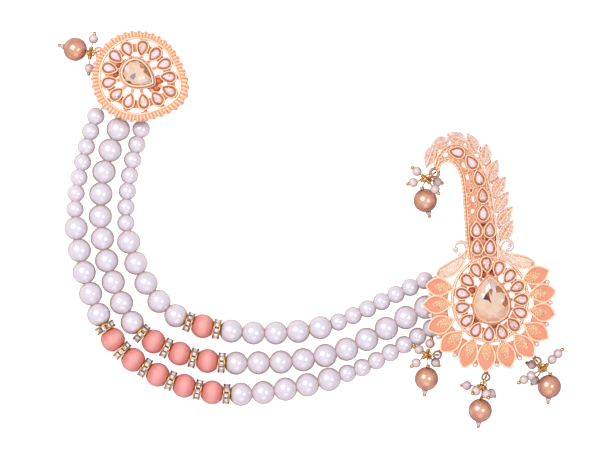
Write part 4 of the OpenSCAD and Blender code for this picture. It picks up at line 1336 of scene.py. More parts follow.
@dataclass
class Feather:
    """The feather brooch: a flower, a curved stem with leaves, and two paisleys."""

    # Pointed blades: width, peak and sharpness
    petal_form: Form = (6.65, 1.2, 0.8)
    petal_web: Form = (5.75, 1.2, 0.8)
    bed_form: Form = (3.9, 1.0, 0.8)
    leaf_form: Form = (4.6, 0.85, 0.95)
    leaf_web: Form = (4.1, 0.85, 0.95)
    # Wires: half width, half height and height of the middle
    petal_rim: Gauge = (0.29, 0.4, 9.78)
    flower_wire: Gauge = (0.33, 0.42, 9.78)
    stem_edge: Gauge = (0.32, 0.4, 9.82)
    stem_groove: Gauge = (0.2, 0.28, 9.6)
    stem_inner: Gauge = (0.22, 0.34, 9.62)
    window_rim: Gauge = (0.18, 0.24, 9.55)
    stone_frame: Gauge = (0.16, 0.26, 9.64)
    paisley_rim: Gauge = (0.3, 0.36, 9.86)
    hook_ring: Gauge = (0.46, 0.34, 9.2)
    eyelet_rim: Gauge = (0.34, 0.2, 9.16)
    main_bezel: Gauge = (0.13, 0.3, 11.2)
    main_border: Gauge = (0.18, 0.24, 9.62)
    leaf_rim: Gauge = (0.24, 0.36, 9.98)
    leaf_vein: Gauge = (0.17, 0.3, 10.16)
    # Seeds: height of the middle, and mean radius
    petal_seeds: tuple[float, float] = (9.93, 0.24)
    curl_seeds: tuple[float, float] = (9.7, 0.25)
    leaf_top: float = 10.16
    leaf_seed: float = 0.22
    hook_r: float = 1.5
    eyelet_r: float = 1.24
    enamel_z: float = 9.86
    enamel_depth: float = 0.26
    knob_in: float = 2.0
    knob_z: float = 9.45
    knob_size: tuple[float, float, float] = (0.85, 0.85, 0.75)
    grain_high: float = 0.85
    patch_seeds: int = 42
    stones: SmallStones = field(init=False)
    stem_stones: SmallStones = field(init=False)
    main: MainStone = field(init=False)
    rng: np.random.Generator = field(default_factory=lambda: np.random.default_rng(7))

    def __post_init__(self) -> None:
        """Places the stones."""
        self.stones = SmallStones("flower_ring_stones",
                                  np.column_stack([FLOWER_STONES, angle_of(MAIN_AT - FLOWER_STONES)]),
                                  ("flower_small_stones",), 11)
        self.stem_stones = SmallStones("stem_row_stones", STEM_STONES, ("stem_small_stones",), 23)
        self.main = MainStone("flower_main_crystal", MAIN_AT, 94.0, 11.4, 14.9, 11.25, 13.0, FLOWER_GLINTS,
                              ("feather_main_stone",), 5)

    def build(self) -> None:
        """Builds all pieces of the brooch."""
        clothe("feather_plate", ROSE_CAST)
        self.stones.stones()
        self.stem_stones.stones()
        self.main.stone()
        self.enamel()
        self.wires()
        self.milgrain()
        self.lay_painted_shade()
        self.fittings_of_stones()

    def enamel(self) -> None:
        """Fills the petals: a dish between both sides of the blade, a little deeper in the middle."""
        shape = Shape()
        t = eased(26)
        share = 0.045 + 0.905 * t
        half = np.maximum(blade_half(share, *self.petal_form) - 0.34, 0.03)
        swell = np.sin(np.pi * t) ** 0.5
        s = np.linspace(1, -1, 13)
        # The tone falls to 0 at the rims and ends, where the enamel gets painted shade.
        tone = np.pad(swell[:, None] * (1 - np.abs(s) ** 3)[None], ((0, 0), (0, 2)))
        for row in PETALS:
            left, right = (beside(row[:2], row[2:], share, side * half) for side in (1, -1))
            shape.add(domed(left, right, self.enamel_z, -self.enamel_depth * swell, 0.4, len(s)),
                      tone=np.append(tone, [0, 0]))
        shape.build("petal_enamel", "rose_gold", [ENAMEL])

    def wires(self) -> None:
        """Lays the raised wires: petal rims, flower ring, stem, windows, paisleys and their curls."""
        shape = Shape()
        for row in PETALS:
            outline = offset(blade(row[:2], row[2:], *self.petal_form, 26), 0.3)
            shape.add(flat_ring(outline, *self.petal_rim))
        ring = FLOWER + polar(np.arange(0, 360, 3)) * [12.5, 14.0]
        shape.add(flat_ring(ring, *self.flower_wire))
        between = (PETALS[:-1, 2:] + PETALS[1:, 2:]) / 2
        knobs = between + self.knob_in * unit(FLOWER - between)
        shape.add(copies(ball(12, 8), lifted(knobs, self.knob_z), scales=np.array([self.knob_size])), 1)
        outer = offset(smooth(STEM_OUTER, 6), 0.32, False)
        shape.add(wire(outer, *self.stem_edge))
        shape.add(wire(offset(outer, 0.95, False), *self.stem_groove))
        shape.add(wire(offset(smooth(STEM_INNER, 6), -1.2, False), *self.stem_inner))
        for x, y, w, h, turn in STEM_WINDOWS:
            edge = turned(polar(np.arange(0, 360, 30)) * [w / 2 + 0.12, h / 2 + 0.12], turn) + [x, y]
            shape.add(flat_ring(edge, *self.window_rim, 6))
        for x, y, r, start, sweep in SCROLLS:
            curl = [x, y] + polar(start + np.linspace(0, sweep, 12)) * np.linspace(1.15, 0.5, 12)[:, None] * r
            shape.add(wire(curl, np.linspace(0.17, 0.22, 12), 0.36, 9.66, 6))
            shape.add(copies(ball(8, 6), lifted(curl[-1:], 9.74), scales=0.3), 1)
        for row in STEM_STONES[:5]:
            shape.add(flat_ring(pear_at(row, 3.0, 4.4, 0.98), *self.stone_frame, 6))
        for rows in PAISLEYS:
            path = smooth(rows, 5)
            for edge in band_edges(path, 0.3):
                shape.add(wire(edge, *self.paisley_rim))
            curl = path[26:]
            shape.add(wire(curl[:, :2], curl[:, 2] / 2 + 0.1, 0.5, 9.86), 1)
        for x, y, r in CURL_BALLS:
            shape.add(copies(ball(10, 8), np.array([[x, y, 9.7]]), scales=r), 1)
        circle = polar(np.arange(0, 360, 15))
        shape.add(flat_ring(DROP_PLACES["hook_drop"][:2] + self.hook_r * circle, *self.hook_ring), 1)
        for name in ("left_drop", "bottom_drop", "right_drop"):
            shape.add(flat_ring(DROP_PLACES[name][:2] + self.eyelet_r * circle, *self.eyelet_rim, 6), 1)
        shape.add(flat_ring(self.main.outline(0.27), *self.main_bezel))
        shape.add(flat_ring(self.main.outline(0.75), *self.main_border))
        shape.build("feather_wires", "rose_gold", [WIRE, SILVERED])

    def fittings_of_stones(self) -> None:
        """Builds the bezels and foils of all stones."""
        shape = Shape()
        for set_of in (self.stones, self.stem_stones):
            set_of.bezels(shape, 0)
            set_of.foils(shape, 1)
        self.main.foil(shape, 1)
        shape.build("feather_bezels", "rose_gold", [WIRE, FOIL_AND_SHADE])

    def lay_painted_shade(self) -> None:
        """Lays dark discs of painted shade between the lowest stones of the stem, and in some windows of the flower.
        """
        shape = Shape()
        shape.add(flat_places(DEEP_PLACES, PLATE_TOP - 0.1, PLATE_TOP + 0.04), tone=0.3)
        shape.add(flat_places(FLOWER_DEEPS, 8.8, 9.2), tone=0.85)
        shape.build("stem_painted_shade", "rose_gold", [PAINTED_SHADE])

    def patch(self, root: Array, tip: Array) -> Array:
        """Spreads seeds over a pointed oval near a petal's root, in the spiral of a seed head.

        Seed m lies at the angle 137.5 m and the distance from the middle that grows with the root of m.

        Args:
            root, tip: Ends of the petal.

        Returns:
            Places of the seeds.
        """
        n = self.patch_seeds
        m = np.arange(n) + 0.5
        spiral = polar(137.508 * m) * np.sqrt(m / n)[:, None]
        narrow = 1 - 0.35 * np.abs(spiral[:, 0]) ** 1.6
        return beside(root, tip, 0.375 + 0.29 * spiral[:, 0], 1.6 * narrow * spiral[:, 1])

    def milgrain(self) -> None:
        """Strews all milgrain: petals, inner edge of the stem, leaves with their veins, and paisleys."""
        shape = Shape()
        beds = Shape()
        for row in PETALS:
            root, tip = row[:2], row[2:]
            seeds = self.patch(root, tip)
            self.strew(shape, seeds, *self.petal_seeds, 0)
            self.bed(beds, root, tip)
        inner = smooth(STEM_INNER, 6)
        row = spaced(offset(inner, -0.42, False), 1.3)
        shape.add(grains(row, 9.92, 0.46, 0.9), 0, tone=0.8)
        for leaf in LEAVES:
            self.leaf(shape, beds, leaf[:2], leaf[2:])
        for rows in PAISLEYS:
            self.paisley_seeds(shape, beds, np.asarray(rows))
        self.webs(beds)
        beds.build("milgrain_beds", "rose_gold", [SEED, WIRE, LEAF_GROUND, SILVERED, PALE_GROUND, ENAMEL])
        shape.build("milgrain", "rose_gold", [SEED, SILVER_SEED])

    def strew(self, shape: Shape, points: Array, z: float, size: float, slot: int) -> None:
        """Adds grains that differ a little in size and tone.

        Args:
            shape: Where they go.
            points: Their places.
            z: Height of their middles.
            size: Mean radius.
            slot: Their finish.
        """
        n = len(points)
        mesh = grains(points + self.rng.normal(0, 0.04, (n, 2)), z, size * self.rng.uniform(0.8, 1.2, n),
                      self.grain_high)
        shape.add(mesh, slot, tone=each(self.rng.uniform(0.35, 1.0, n), mesh))

    def bed(self, beds: Shape, root: Array, tip: Array) -> None:
        """Adds the low dome that a petal's seeds stand on.

        Args:
            beds: Where it goes.
            root, tip: Ends of the petal.
        """
        t = eased(14)
        half = blade_half(t, *self.bed_form)
        half[[0, -1]] = 0.03
        left, right = (beside(root, tip, 0.05 + 0.64 * t, side * half) for side in (1, -1))
        beds.add(domed(left, right, 9.6, 0.26 * np.sin(np.pi * t) ** 0.6, 0.2, 7), tone=0.22)

    def webs(self, beds: Shape) -> None:
        """Fills the corners between neighbouring petals, and between neighbouring leaves, with a low plate.

        Args:
            beds: Where they go.
        """
        petal, leaf = self.petal_web, self.leaf_web
        s = np.linspace(0, 1, 9)
        swell = 0.05 * np.sin(np.pi * s)
        for right, left in zip(PETALS[:-1], PETALS[1:]):
            t = 0.2 + 0.52 * s
            beds.add(domed(blade_edge(left, petal, -1, t), blade_edge(right, petal, 1, t), 9.6, swell, 0.5, 3), 5,
                     tone=0.7)
        for right, left in zip(LEAVES[:-1], LEAVES[1:]):
            beds.add(domed(blade_edge(left, leaf, -1, 0.02 + 0.42 * s), blade_edge(right, leaf, 1, 0.42 + 0.33 * s),
                           9.8, swell, 0.8, 3), 5, tone=0.9)

    def leaf(self, shape: Shape, beds: Shape, root: Array, tip: Array) -> None:
        """Builds a leaf: a low dome, a rim and a vein, ribs on the inner half, silvered seeds on the outer half.

        Args:
            shape: Where the grains go.
            beds: Where the dome and wires go.
            root, tip: Its ends.
        """
        t = 0.04 + 0.93 * eased(16)
        half = np.maximum(blade_half(t, *self.leaf_form) - 0.15, 0.04)
        left, right = (beside(root, tip, t, side * half) for side in (1, -1))
        beds.add(domed(left, right, 9.98, 0.16 * np.sin(np.pi * t) ** 0.6, 0.4, 7), 2)
        beds.add(flat_ring(offset(blade(root, tip, *self.leaf_form), 0.18), *self.leaf_rim), 3)
        vein = np.linspace(0.08, 0.9, 8)
        beds.add(wire(beside(root, tip, vein, -0.16 * np.sin(np.pi * vein)), *self.leaf_vein, 6), 1)
        ribs = np.linspace(0.16, 0.82, 8)
        wide = np.interp(ribs, t, half)
        ribbed = beside(root, tip, ribs, 0.1 + 0.5 * wide)
        slant = angle_of(tip - root) + 52
        shape.add(grains(ribbed, self.leaf_top, 0.2, 1.5, slant, 3.4 * wide / wide.max()), 0, tone=0.9)
        for row, share in enumerate((0.16, 0.42, 0.68, 0.92)):
            seeds = np.linspace(0.12, 0.88, 12) + 0.03 * (row % 2)
            wide = np.interp(seeds, t, half)
            kept = wide > 0.55 + 0.6 * share
            spots = beside(root, tip, seeds, -0.2 - share * (wide - 0.35))
            self.strew(shape, spots[kept], self.leaf_top - 0.08 * share, self.leaf_seed, 1)

    def paisley_seeds(self, shape: Shape, beds: Shape, rows: Array) -> None:
        """Fills a paisley's wide part with grains on a staggered grid, over a pale dome.

        Args:
            shape: Where they go.
            beds: Where the dome goes.
            rows: The paisley's x, y and width.
        """
        path = smooth(rows, 8)
        path = path[4:40]
        left, right = band_edges(path, 0.45)
        swell = 0.12 * np.sin(np.linspace(0.05, 0.95, len(path)) * np.pi)
        beds.add(domed(left, right, 9.52, swell, 0.3, 7), 4, tone=0.55)
        left, right = band_edges(path, 0.72)
        count = max(len(path) // 2, 2)
        pick = np.linspace(0, len(path) - 1, count + 1).round().astype(int)
        for k, share in enumerate((0.02, 0.27, 0.5, 0.73, 0.98)):
            spots = left[pick] * (1 - share) + right[pick] * share
            spots = (spots[1:] + spots[:-1]) / 2 if k % 2 else spots
            wide = path[pick[: len(spots)], 2] > (1.9 if k in (0, 4) else 2.3)
            self.strew(shape, spots[wide], *self.curl_seeds, 1)


# The round brooch


@dataclass
class RoundBrooch:
    """The round brooch: a fluted rim round a ring of stones and a main stone."""

    # Wires: half width, half height and height of the middle
    inner_wire: Gauge = (0.38, 0.4, 10.02)
    main_bezel: Gauge = (0.28, 0.3, 11.2)
    main_border: Gauge = (0.2, 0.3, 9.75)
    radius: float = 15.3
    lean: float = 0.75
    lean_to: float = 215.0
    # Swells of the rim: growth, direction and power of the cosine, where more is narrower
    swells: tuple[tuple[float, float, int], ...] = ((2.9, ROUND_TIP, 8), (0.5, -142.0, 6))
    scallops: int = 38
    scallop_h: float = 0.7
    ribs: int = 2
    opening: float = 0.8
    stones: SmallStones = field(init=False)
    main: MainStone = field(init=False)

    def __post_init__(self) -> None:
        """Places the stones."""
        self.stones = SmallStones("round_ring_stones",
                                  np.column_stack([ROUND_STONES, angle_of(ROUND_MAIN_AT - ROUND_STONES)]),
                                  ("round_small_stones",), 31)
        self.main = MainStone("round_main_crystal", ROUND_MAIN_AT, -30.0, 8.2, 10.6, 11.2, 12.6, ROUND_GLINTS,
                              ("round_main_stone",), 17, n=12, foil_out=0.15)

    def reach(self, a: Array) -> Array:
        """Gives the distance from the middle to the rim, which grows a little on three sides.

        Args:
            a: Angles in degrees.

        Returns:
            The distances.
        """
        reach = self.radius + self.lean * np.cos(np.radians(a - self.lean_to))
        for grow, towards, power in self.swells:
            reach = reach + grow * np.maximum(0, np.cos(np.radians(a - towards))) ** power
        return reach

    def build(self) -> None:
        """Builds all pieces of the brooch."""
        clothe("round_plate", ROSE_CAST)
        self.stones.stones()
        self.main.stone()
        self.rim()
        self.wires()
        # Dark discs of painted shade between the stones.
        deeps = Shape().add(flat_places(ROUND_DEEPS, 8.8, 9.2), tone=0.95)
        deeps.build("round_painted_shade", "rose_gold", [PAINTED_SHADE])

    def rim(self) -> None:
        """Builds the fluted rim as one grid round the brooch.

        At angle a the edge is the reach less the scallop, 0.7 (1 - |sin (38 a / 2)|). Between the inner wire and
        the edge the height rises and falls twice a scallop, by 0.5 |sin|^0.8, most a little
        way inside the edge.
        """
        steps = self.scallops * self.ribs * 8
        a = np.arange(steps) * 360 / steps
        lobe = np.abs(np.sin(np.radians(a * self.scallops / 2)))
        rib = np.abs(np.sin(np.radians(a * self.scallops * self.ribs / 2))) ** 0.8
        edge = self.reach(a) - self.scallop_h * (1 - lobe) + 0.1 * (rib - 0.5)
        way = polar(a)
        start = self.opening * self.reach(a) + 0.75
        u = np.array([0.0, 0.12, 0.35, 0.6, 0.82, 0.95, 1.0])
        swell = np.array([0.0, 0.35, 0.8, 1.0, 0.95, 0.6, 0.25])
        base = np.array([10.02, 10.06, 10.08, 10.04, 9.92, 9.72, 9.45])
        radius = start[:, None] + (edge - start)[:, None] * u[None]
        z = base[None] + 0.5 * swell[None] * (rib[:, None] - 0.4) + 0.14 * swell[None] * lobe[:, None]
        top = np.concatenate([radius[..., None] * way[:, None] + ROUND, z[..., None]], -1)
        under = np.stack([lifted((edge - 0.02)[:, None] * way + ROUND, 8.7),
                          lifted(start[:, None] * way + ROUND, 9.3)], 1)
        mesh = loft(np.concatenate([top, under], 1), closed=True)
        # The tone follows the ribs: high on the crests for painted highlight, low in the grooves and underneath for
        # painted shade.
        tone = np.concatenate([np.broadcast_to(rib[:, None], z.shape), np.zeros((len(a), 2))], 1).ravel()
        Shape().add(mesh, tone=tone).build("round_rim", "rose_gold", [FLUTED])

    def wires(self) -> None:
        """Builds the inner wire, bezels, foils and the roped border of the main stone."""
        shape = Shape()
        a = np.arange(0, 360, 4)
        ring = ROUND + polar(a) * (self.opening * self.reach(a) + 0.4)[:, None]
        shape.add(flat_ring(ring, *self.inner_wire))
        self.stones.bezels(shape, 0)
        self.stones.foils(shape, 2)
        self.main.foil(shape, 2)
        shape.add(flat_ring(self.main.outline(0.3), *self.main_bezel))
        shape.add(flat_ring(self.main.outline(1.12), *self.main_border))
        rope = spaced(self.main.outline(0.76), 0.6, True)
        ahead = angle_of(tangents(rope, True))
        shape.add(grains(rope, 10.0, 0.22, 1.1, ahead + 40, 1.5), 1)
        shape.build("round_wires", "rose_gold", [WIRE, SILVERED, FOIL_AND_SHADE])


# The strings


class Bead(Enum):
    """Kinds of bead: the length that one takes on the thread, and the height of its middle."""

    SMALL = (5.32, 2.95)
    LARGE = (7.48, 3.95)
    ROSE = (7.45, 4.05)
    SPACER = (2.15, 4.05001)

    @property
    def pitch(self) -> float:
        """Gives the length on the thread."""
        return self.value[0]

    @property
    def rest(self) -> float:
        """Gives the height of the middle."""
        return self.value[1]


def rose_run(count: int) -> list[Bead]:
    """Gives a run of rose beads with a spacer before, between and after them."""
    return [Bead.SPACER] + [Bead.ROSE, Bead.SPACER] * count


@dataclass
class BeadString:
    """A thread of pearls with rose beads and spacers, from a lug of the round brooch to one of the feather."""

    name: str
    route: list[list[float]]
    lugs: Array
    beads: list[Bead]
    lead: float
    rose_r: float = 4.05
    rose_l: float = 7.09
    bore: float = 0.85
    spacer_r: float = 3.5
    spacer_l: float = 1.79
    flange: float = 0.56
    crystals: int = 10
    thread_r: float = 0.38
    loop_r: float = 1.1
    loop_wire: float = 0.34
    middle: Array = field(init=False)
    way: Array = field(init=False)

    def __post_init__(self) -> None:
        """Works out the middle and direction of every bead."""
        path = smooth(self.route, 12)
        c = np.concatenate([[0], np.cumsum(np.linalg.norm(np.diff(path, axis=0), axis=1))])
        pitch = np.array([b.pitch for b in self.beads])
        at = self.lead + np.cumsum(pitch) - pitch / 2

        def on_thread(s: Array) -> Array:
            """Gives the points at lengths s."""
            return np.stack([np.interp(s, c, path[:, 0]), np.interp(s, c, path[:, 1])], -1)

        self.middle = lifted(on_thread(at), [b.rest for b in self.beads])
        self.way = lifted(unit(on_thread(at + 0.5) - on_thread(at - 0.5)), 0.0)

    def chosen(self, kind: Bead) -> Array:
        """Gives the numbers of the beads of one kind."""
        return np.array([i for i, b in enumerate(self.beads) if b is kind])

    def threaded(self, mesh: Mesh, kind: Bead) -> Mesh:
        """Copies a bead, made round the Z axis, to all places of its kind."""
        i = self.chosen(kind)
        return copies(mesh, self.middle[i], axes_for(self.way[i]))

    def build(self) -> None:
        """Builds the pearls with their thread, the rose beads and the spacers."""
        self.pearls()
        self.rose_beads()
        self.spacers()

    def pearls(self) -> None:
        """Threads the pearls, with dimples at the drill holes, and loops the thread round both lugs."""
        shape = Shape()
        for kind, bore, steps, sides in ((Bead.LARGE, 0.5, 25, 40), (Bead.SMALL, 0.45, 21, 36)):
            if kind in self.beads:
                shape.add(self.threaded(lathe(bead_profile(kind.rest, bore, steps), sides), kind))
        ends = [np.array([*lug, LUG_Z]) for lug in self.lugs]
        near = [end + self.loop_r * unit((self.middle[k] - end) * [1, 1, 0]) for k, end in zip((0, -1), ends)]
        thread = np.vstack([near[:1], self.middle, near[1:]])
        shape.add(tube(thread, self.thread_r, self.thread_r, sides=10), 1, tone=0.7)
        for end in ends:
            loop = end[:2] + self.loop_r * polar(np.arange(0, 360, 15))
            shape.add(flat_ring(loop, self.loop_wire, self.loop_wire, LUG_Z), 1, tone=0.6)
        shape.build(self.name + "_pearls", "pearl", [PEARL, THREAD], [self.name + "_pearl_string"])

    def rose_beads(self) -> None:
        """Threads the rose beads, rounded at the flats round their bores."""
        half = self.rose_l / 2
        b = np.arcsin(half / self.rose_r) - 0.05
        t = np.linspace(-b, b, 27)
        arc = self.rose_r * np.stack([np.cos(t), np.sin(t)], -1)
        lip = np.array([[self.bore, 0.0], [self.bore, -half + 0.2], [self.bore + 0.12, -half + 0.04],
                        [1.6, -half], [1.95, -half + 0.03]])
        profile = np.vstack([lip, arc, lip[:0:-1] * [1, -1]])
        one = lathe(profile, 44, True)
        mesh = self.threaded(one, Bead.ROSE)
        tone = np.tile(1 - np.abs(one[0][:, 2]) / half, len(self.chosen(Bead.ROSE)))
        nodes = [f"{self.name}_rose_bead_{i + 1}" for i in range(len(self.chosen(Bead.ROSE)))]
        Shape().add(mesh, tone=tone).build(self.name + "_rose_beads", "rose_bead", [ROSE], nodes)

    def spacers(self) -> None:
        """Builds the spacers: two rolled flanges, a hub darkened with painted shade, and clear stones standing
        between the flanges.
        """
        shape = Shape()
        half, r = self.spacer_l / 2 + 0.3, self.spacer_r
        flange = np.array([[self.bore, self.flange], [self.bore, 0.05], [1.0, 0], [r - 0.25, 0], [r - 0.06, 0.1],
                           [r, 0.28], [r - 0.06, 0.48], [r - 0.25, self.flange]])
        for low in (-half, half - self.flange):
            shape.add(self.threaded(lathe(flange + [0, low], 40, True), Bead.SPACER))
        hub = [[self.bore, 0.4 - half], [r - 0.72, 0.4 - half], [r - 0.72, half - 0.4], [self.bore, half - 0.4]]
        shape.add(self.threaded(lathe(hub, 30, True), Bead.SPACER), 1)
        w, l = 0.64, half - 0.5
        corners = np.array([[-w, -l], [w, -l], [w, l], [-w, l]])
        gem = loft(np.stack([lifted(corners, -0.5), lifted(corners, 0.28), lifted(corners * 0.55, 0.52)]))
        i = self.chosen(Bead.SPACER)
        a = np.tile(polar(360 * (np.arange(self.crystals) + 0.25) / self.crystals), (len(i), 1))
        way = np.repeat(self.way[i], self.crystals, axis=0)
        out = a[:, :1] * np.cross(way, UP) + a[:, 1:] * UP
        frames = np.stack([np.cross(way, out), way, out], -1)
        gems = copies(gem, np.repeat(self.middle[i], self.crystals, axis=0) + out * (r - 0.62), frames)
        rng = np.random.default_rng(len(self.beads))
        shape.add(gems, 2, smooth=False, facet=[rng.uniform(0, 1, len(f)) ** 0.7 for f in gems[1]])
        nodes = [f"{self.name}_spacer_{k + 1}" for k in range(len(i))]
        shape.build(self.name + "_spacers", "gold", [YELLOW, HUB, RHINESTONE], nodes)


# The drops


def circle_path(at: Array, r: float, e1: Array, e2: Array, n: int) -> Array:
    """Draws a circle: the middle plus r cos a along e1 plus r sin a along e2."""
    c = r * polar(360 * np.arange(n) / n)
    return at + c[:, :1] * e1 + c[:, 1:] * e2


def coil_path(start: Array, way: Array, r: float, pitch: float, turns: float) -> Array:
    """Draws a helix round a direction, 12 points a turn.

    Args:
        start: Where its axis starts.
        way: Direction of the axis.
        r: Radius.
        pitch: Rise a turn.
        turns: Number of turns.

    Returns:
        The points.
    """
    x, y, z = axes_for(unit(way)[None])[0].T
    u = np.arange(int(12 * turns) + 1) / 12
    c = r * polar(360 * u)
    return start + c[:, :1] * x + c[:, 1:] * y + (u * pitch)[:, None] * z


@dataclass
class Drop:
    """A jump ring, a cluster of beads on head pins, and a lacquered ball."""

    name: str
    near: Array = field(init=False)
    far: Array = field(init=False)
    knot: Array = field(init=False)
    ball: Array = field(init=False)
    fall: Array = field(init=False)
    eyelet_z: float = 9.2
    ring_low: float = 6.8
    ball_slope: float = 18.0
    ring_wire: float = 0.32
    pin: float = 0.225
    coil_wire: float = 0.24
    coil_r: float = 0.46
    loop_r: float = 1.05
    ball_r: float = 3.95
    seed_r: float = 1.6
    seed_step: float = 3.0
    knob_at: float = 5.7

    def __post_init__(self) -> None:
        """Works out where the drop's points lie."""
        place = DROP_PLACES[self.name]
        self.near = np.array([*place[:2], self.eyelet_z])
        self.far = np.array([*place[2:4], self.ring_low])
        self.knot = self.far + self.loop_r * unit(self.far - self.near)
        self.ball = np.array([*place[4:6], self.ball_r])
        slope = np.radians(self.ball_slope)
        self.fall = np.array([*(polar(place[6]) * np.cos(slope)), -np.sin(slope)])

    def build(self) -> None:
        """Builds the ring, the cluster and the ball."""
        across = unit(np.cross(UP, self.far - self.near))
        way = unit(self.far - self.near)
        ring = circle_path((self.near + self.far) / 2, np.linalg.norm(self.far - self.near) / 2, way,
                           np.cross(across, way), 36)
        Shape().add(tube(ring, self.ring_wire, self.ring_wire, True, 10, across)).build(
            self.name + "_jump_ring", "gold", [YELLOW], [self.name + "_ring"])
        self.cluster(across)
        self.copper_ball()

    def cluster(self, across: Array) -> None:
        """Builds the loop on the ring, the wrapped head pins with their beads, and the ball's own pin.

        Args:
            across: The jump ring's axis.
        """
        shape = Shape()
        way = unit(self.knot - self.far)
        loop = circle_path(self.far, self.loop_r, way, across, 24)
        shape.add(tube(loop, self.pin, self.pin, True, 8, np.cross(way, across)))
        shape.add(tube(coil_path(self.knot - 0.6 * way, way, 0.6, 0.5, 3.5), 0.27, 0.27, sides=6, up=way))
        bead = lathe(bead_profile(self.seed_r, 0.25, 13, 0.97), 20)
        for x, y, z, count in DROP_BEADS[self.name]:
            at = np.array([x, y, z])
            go = unit(at - self.knot)
            first = np.linalg.norm(at - self.knot)
            places = at + go * self.seed_step * 0.95 * np.arange(count)[:, None]
            end = self.knot + go * (first + self.seed_step * (count - 0.5) + 0.35)
            self.head_pin(shape, self.knot + 0.3 * go, end, max(first - self.seed_r - 0.4, 0.5))
            shape.add(copies(bead, places, axes_for(np.repeat(go[None], count, 0))), 1)
        neck = self.ball - (self.ball_r + 0.5) * self.fall
        end = self.ball + self.knob_at * self.fall
        shape.add(tube(np.stack([self.knot + 0.2 * (neck - self.knot), neck, self.ball, end]), self.pin, self.pin,
                       sides=8))
        self.coil(shape, neck - 0.45 * self.fall, self.fall, 0.42, 2.2)
        frames = axes_for(self.fall[None])
        cone = [[0, 0], [0.55, 0], [0.95, 0.12], [1.02, 0.35], [0.9, 0.75], [0.66, 1.2], [0.5, 1.42], [0, 1.44]]
        shape.add(copies(lathe(cone, 18), (self.ball + (self.ball_r - 0.05) * self.fall)[None], frames), 1)
        shape.add(copies(ball(12, 8), end[None], frames, np.array([[0.62, 0.62, 0.7]])))
        shape.build(self.name + "_cluster_beads", "cluster", [YELLOW, DROP_BEAD], [self.name + "_cluster"])

    def coil(self, shape: Shape, start: Array, way: Array, pitch: float, turns: float) -> None:
        """Adds thin wire that is wrapped round a pin, from `start` on along `way`."""
        path = coil_path(start, way, self.coil_r, pitch, turns)
        shape.add(tube(path, self.coil_wire, self.coil_wire, sides=6, up=way))

    def head_pin(self, shape: Shape, start: Array, end: Array, free: float) -> None:
        """Adds a pin with a wrapped coil at its start and a knob at its end.

        Args:
            shape: Where it goes.
            start, end: Its ends.
            free: Length of bare pin before the first bead, which the coil fills.
        """
        way = unit(end - start)
        side = UP if abs(way[2]) < 0.9 else np.array([1.0, 0, 0])
        shape.add(tube(np.stack([start, end]), self.pin, self.pin, sides=8, up=side))
        turns = min(max(free, 0.4) / 0.44, 3.5)
        self.coil(shape, start + 0.1 * way, way, 0.44, turns)
        shape.add(copies(ball(12, 8), end[None], axes_for(way[None]), np.array([[0.66, 0.66, 0.78]])))

    def copper_ball(self) -> None:
        """Turns the ball, with its bore along the pin."""
        b = np.arccos(0.62 / self.ball_r)
        t = np.linspace(-b, b, 29)
        arc = self.ball_r * np.stack([np.cos(t), np.sin(t)], -1)
        top = arc[-1, 1]
        bore = np.array([[0.47, 0], [0.47, -top + 0.25], [0.5, -top + 0.1]])
        mesh = lathe(np.vstack([bore, arc, bore[:0:-1] * [1, -1]]), 48, True)
        Shape().add(copies(mesh, self.ball[None], axes_for(self.fall[None]))).build(
            self.name + "_copper_ball", "copper", [COPPER], [self.name + "_ball"])


# The studio


@dataclass
class Lamp:
    """A square soft light that faces the ornament."""

    name: str
    towards: tuple[float, float, float]
    power: float
    size: float
    colour: Colour = (1.0, 1.0, 1.0)
    far: float = 0.9

    def build(self) -> None:
        """Adds the light, unseen by the camera."""
        data = bpy.data.lights.new(self.name, "AREA")
        data.energy, data.size, data.color = self.power, self.size, self.colour
        lamp = bpy.data.objects.new(self.name, data)
        way = unit(np.array(self.towards))
        lamp.location = way * self.far
        lamp.rotation_mode = "QUATERNION"
        lamp.rotation_quaternion = Vector(way).to_track_quat("Z", "Y")
        lamp.visible_camera = False
        bpy.context.scene.collection.objects.link(lamp)


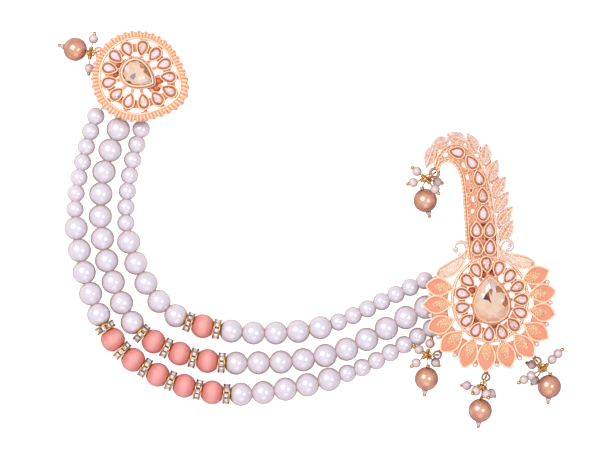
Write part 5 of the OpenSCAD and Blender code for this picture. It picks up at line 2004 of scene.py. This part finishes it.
@dataclass
class Studio:
    """A pale table, an even sky, soft lights, and the camera straight above."""

    camera_at: tuple[float, float, float] = (-0.00359, 0.00153, 2.5)
    lens: float = 448.6
    sky: Colour = (0.93, 0.92, 0.96)
    sky_strength: float = 0.58
    table: Colour = (0.8, 0.8, 0.8)
    table_glow: float = 1.0
    table_reach: float = 3.0
    table_z: float = -0.00002
    lamps: tuple[Lamp, ...] = (
        Lamp("key_light", (-0.45, 0.32, 0.83), 4.8, 0.5),
        Lamp("side_light", (0.5, -0.05, 0.86), 1.5, 0.3),
        Lamp("lilac_fill", (0.1, -0.8, 0.5), 1.1, 0.6, (0.96, 0.84, 0.98)))

    def build(self) -> None:
        """Builds table, sky, lights and camera."""
        scene = bpy.context.scene
        scene.view_settings.view_transform = "Standard"
        world = bpy.data.worlds.new("studio_sky")
        world.use_nodes = True
        back = world.node_tree.nodes["Background"]
        back.inputs["Color"].default_value = (*self.sky, 1.0)
        back.inputs["Strength"].default_value = self.sky_strength
        scene.world = world
        camera = bpy.data.objects.new("camera", bpy.data.cameras.new("camera"))
        camera.data.lens, camera.data.sensor_width, camera.data.clip_end = self.lens, 36.0, 20.0
        camera.location = self.camera_at
        scene.collection.objects.link(camera)
        scene.camera = camera
        for lamp in self.lamps:
            lamp.build()
        mesh = bpy.data.meshes.new("table")
        r = self.table_reach
        edge = [(x, y, self.table_z) for x, y in ((-r, -r), (r, -r), (r, r), (-r, r))]
        mesh.from_pydata(edge, [], [(0, 1, 2, 3)])
        paint = bpy.data.materials.new("table_paint")
        paint.use_nodes = True
        w = Wiring(paint.node_tree)
        seen = w.node("LightPath").outputs["Is Camera Ray"]
        w.feed(paint.node_tree.nodes["Principled BSDF"], {
            "Base Color": self.table, "Roughness": 0.9, "Specular IOR Level": 0.1,
            "Emission Color": (1.0, 1.0, 1.0), "Emission Strength": w.math("MULTIPLY", seen, self.table_glow)})
        mesh.materials.append(paint)
        table = bpy.data.objects.new("table", mesh)
        scene.collection.objects.link(table)


def note_size() -> None:
    """Brings the scene's matrices up to date."""
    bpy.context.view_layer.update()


def main() -> None:
    """Builds the whole ornament."""
    logging.basicConfig(level=logging.INFO, format="%(message)s")
    Studio().build()
    Feather().build()
    RoundBrooch().build()
    ends = [Bead.SMALL] * 7 + [Bead.LARGE] * 5
    runs = {"outer": (ends + rose_run(5) + ends[::-1], 3.3), "middle": ([Bead.LARGE] * 10 + rose_run(3)
            + [Bead.LARGE] * 10, 4.4), "inner": (ends + rose_run(1) + ends[::-1], 1.9)}
    for (name, (beads, lead)), route, lugs in zip(runs.items(), ROUTES, LUGS):
        BeadString(name, route, lugs, beads, lead).build()
    for name in DROP_PLACES:
        Drop(name).build()
    for node in ("feather_pin_fitting", "round_pin_fitting"):
        clothe(node, STEEL)
    note_size()


if __name__ == "__main__":
    main()
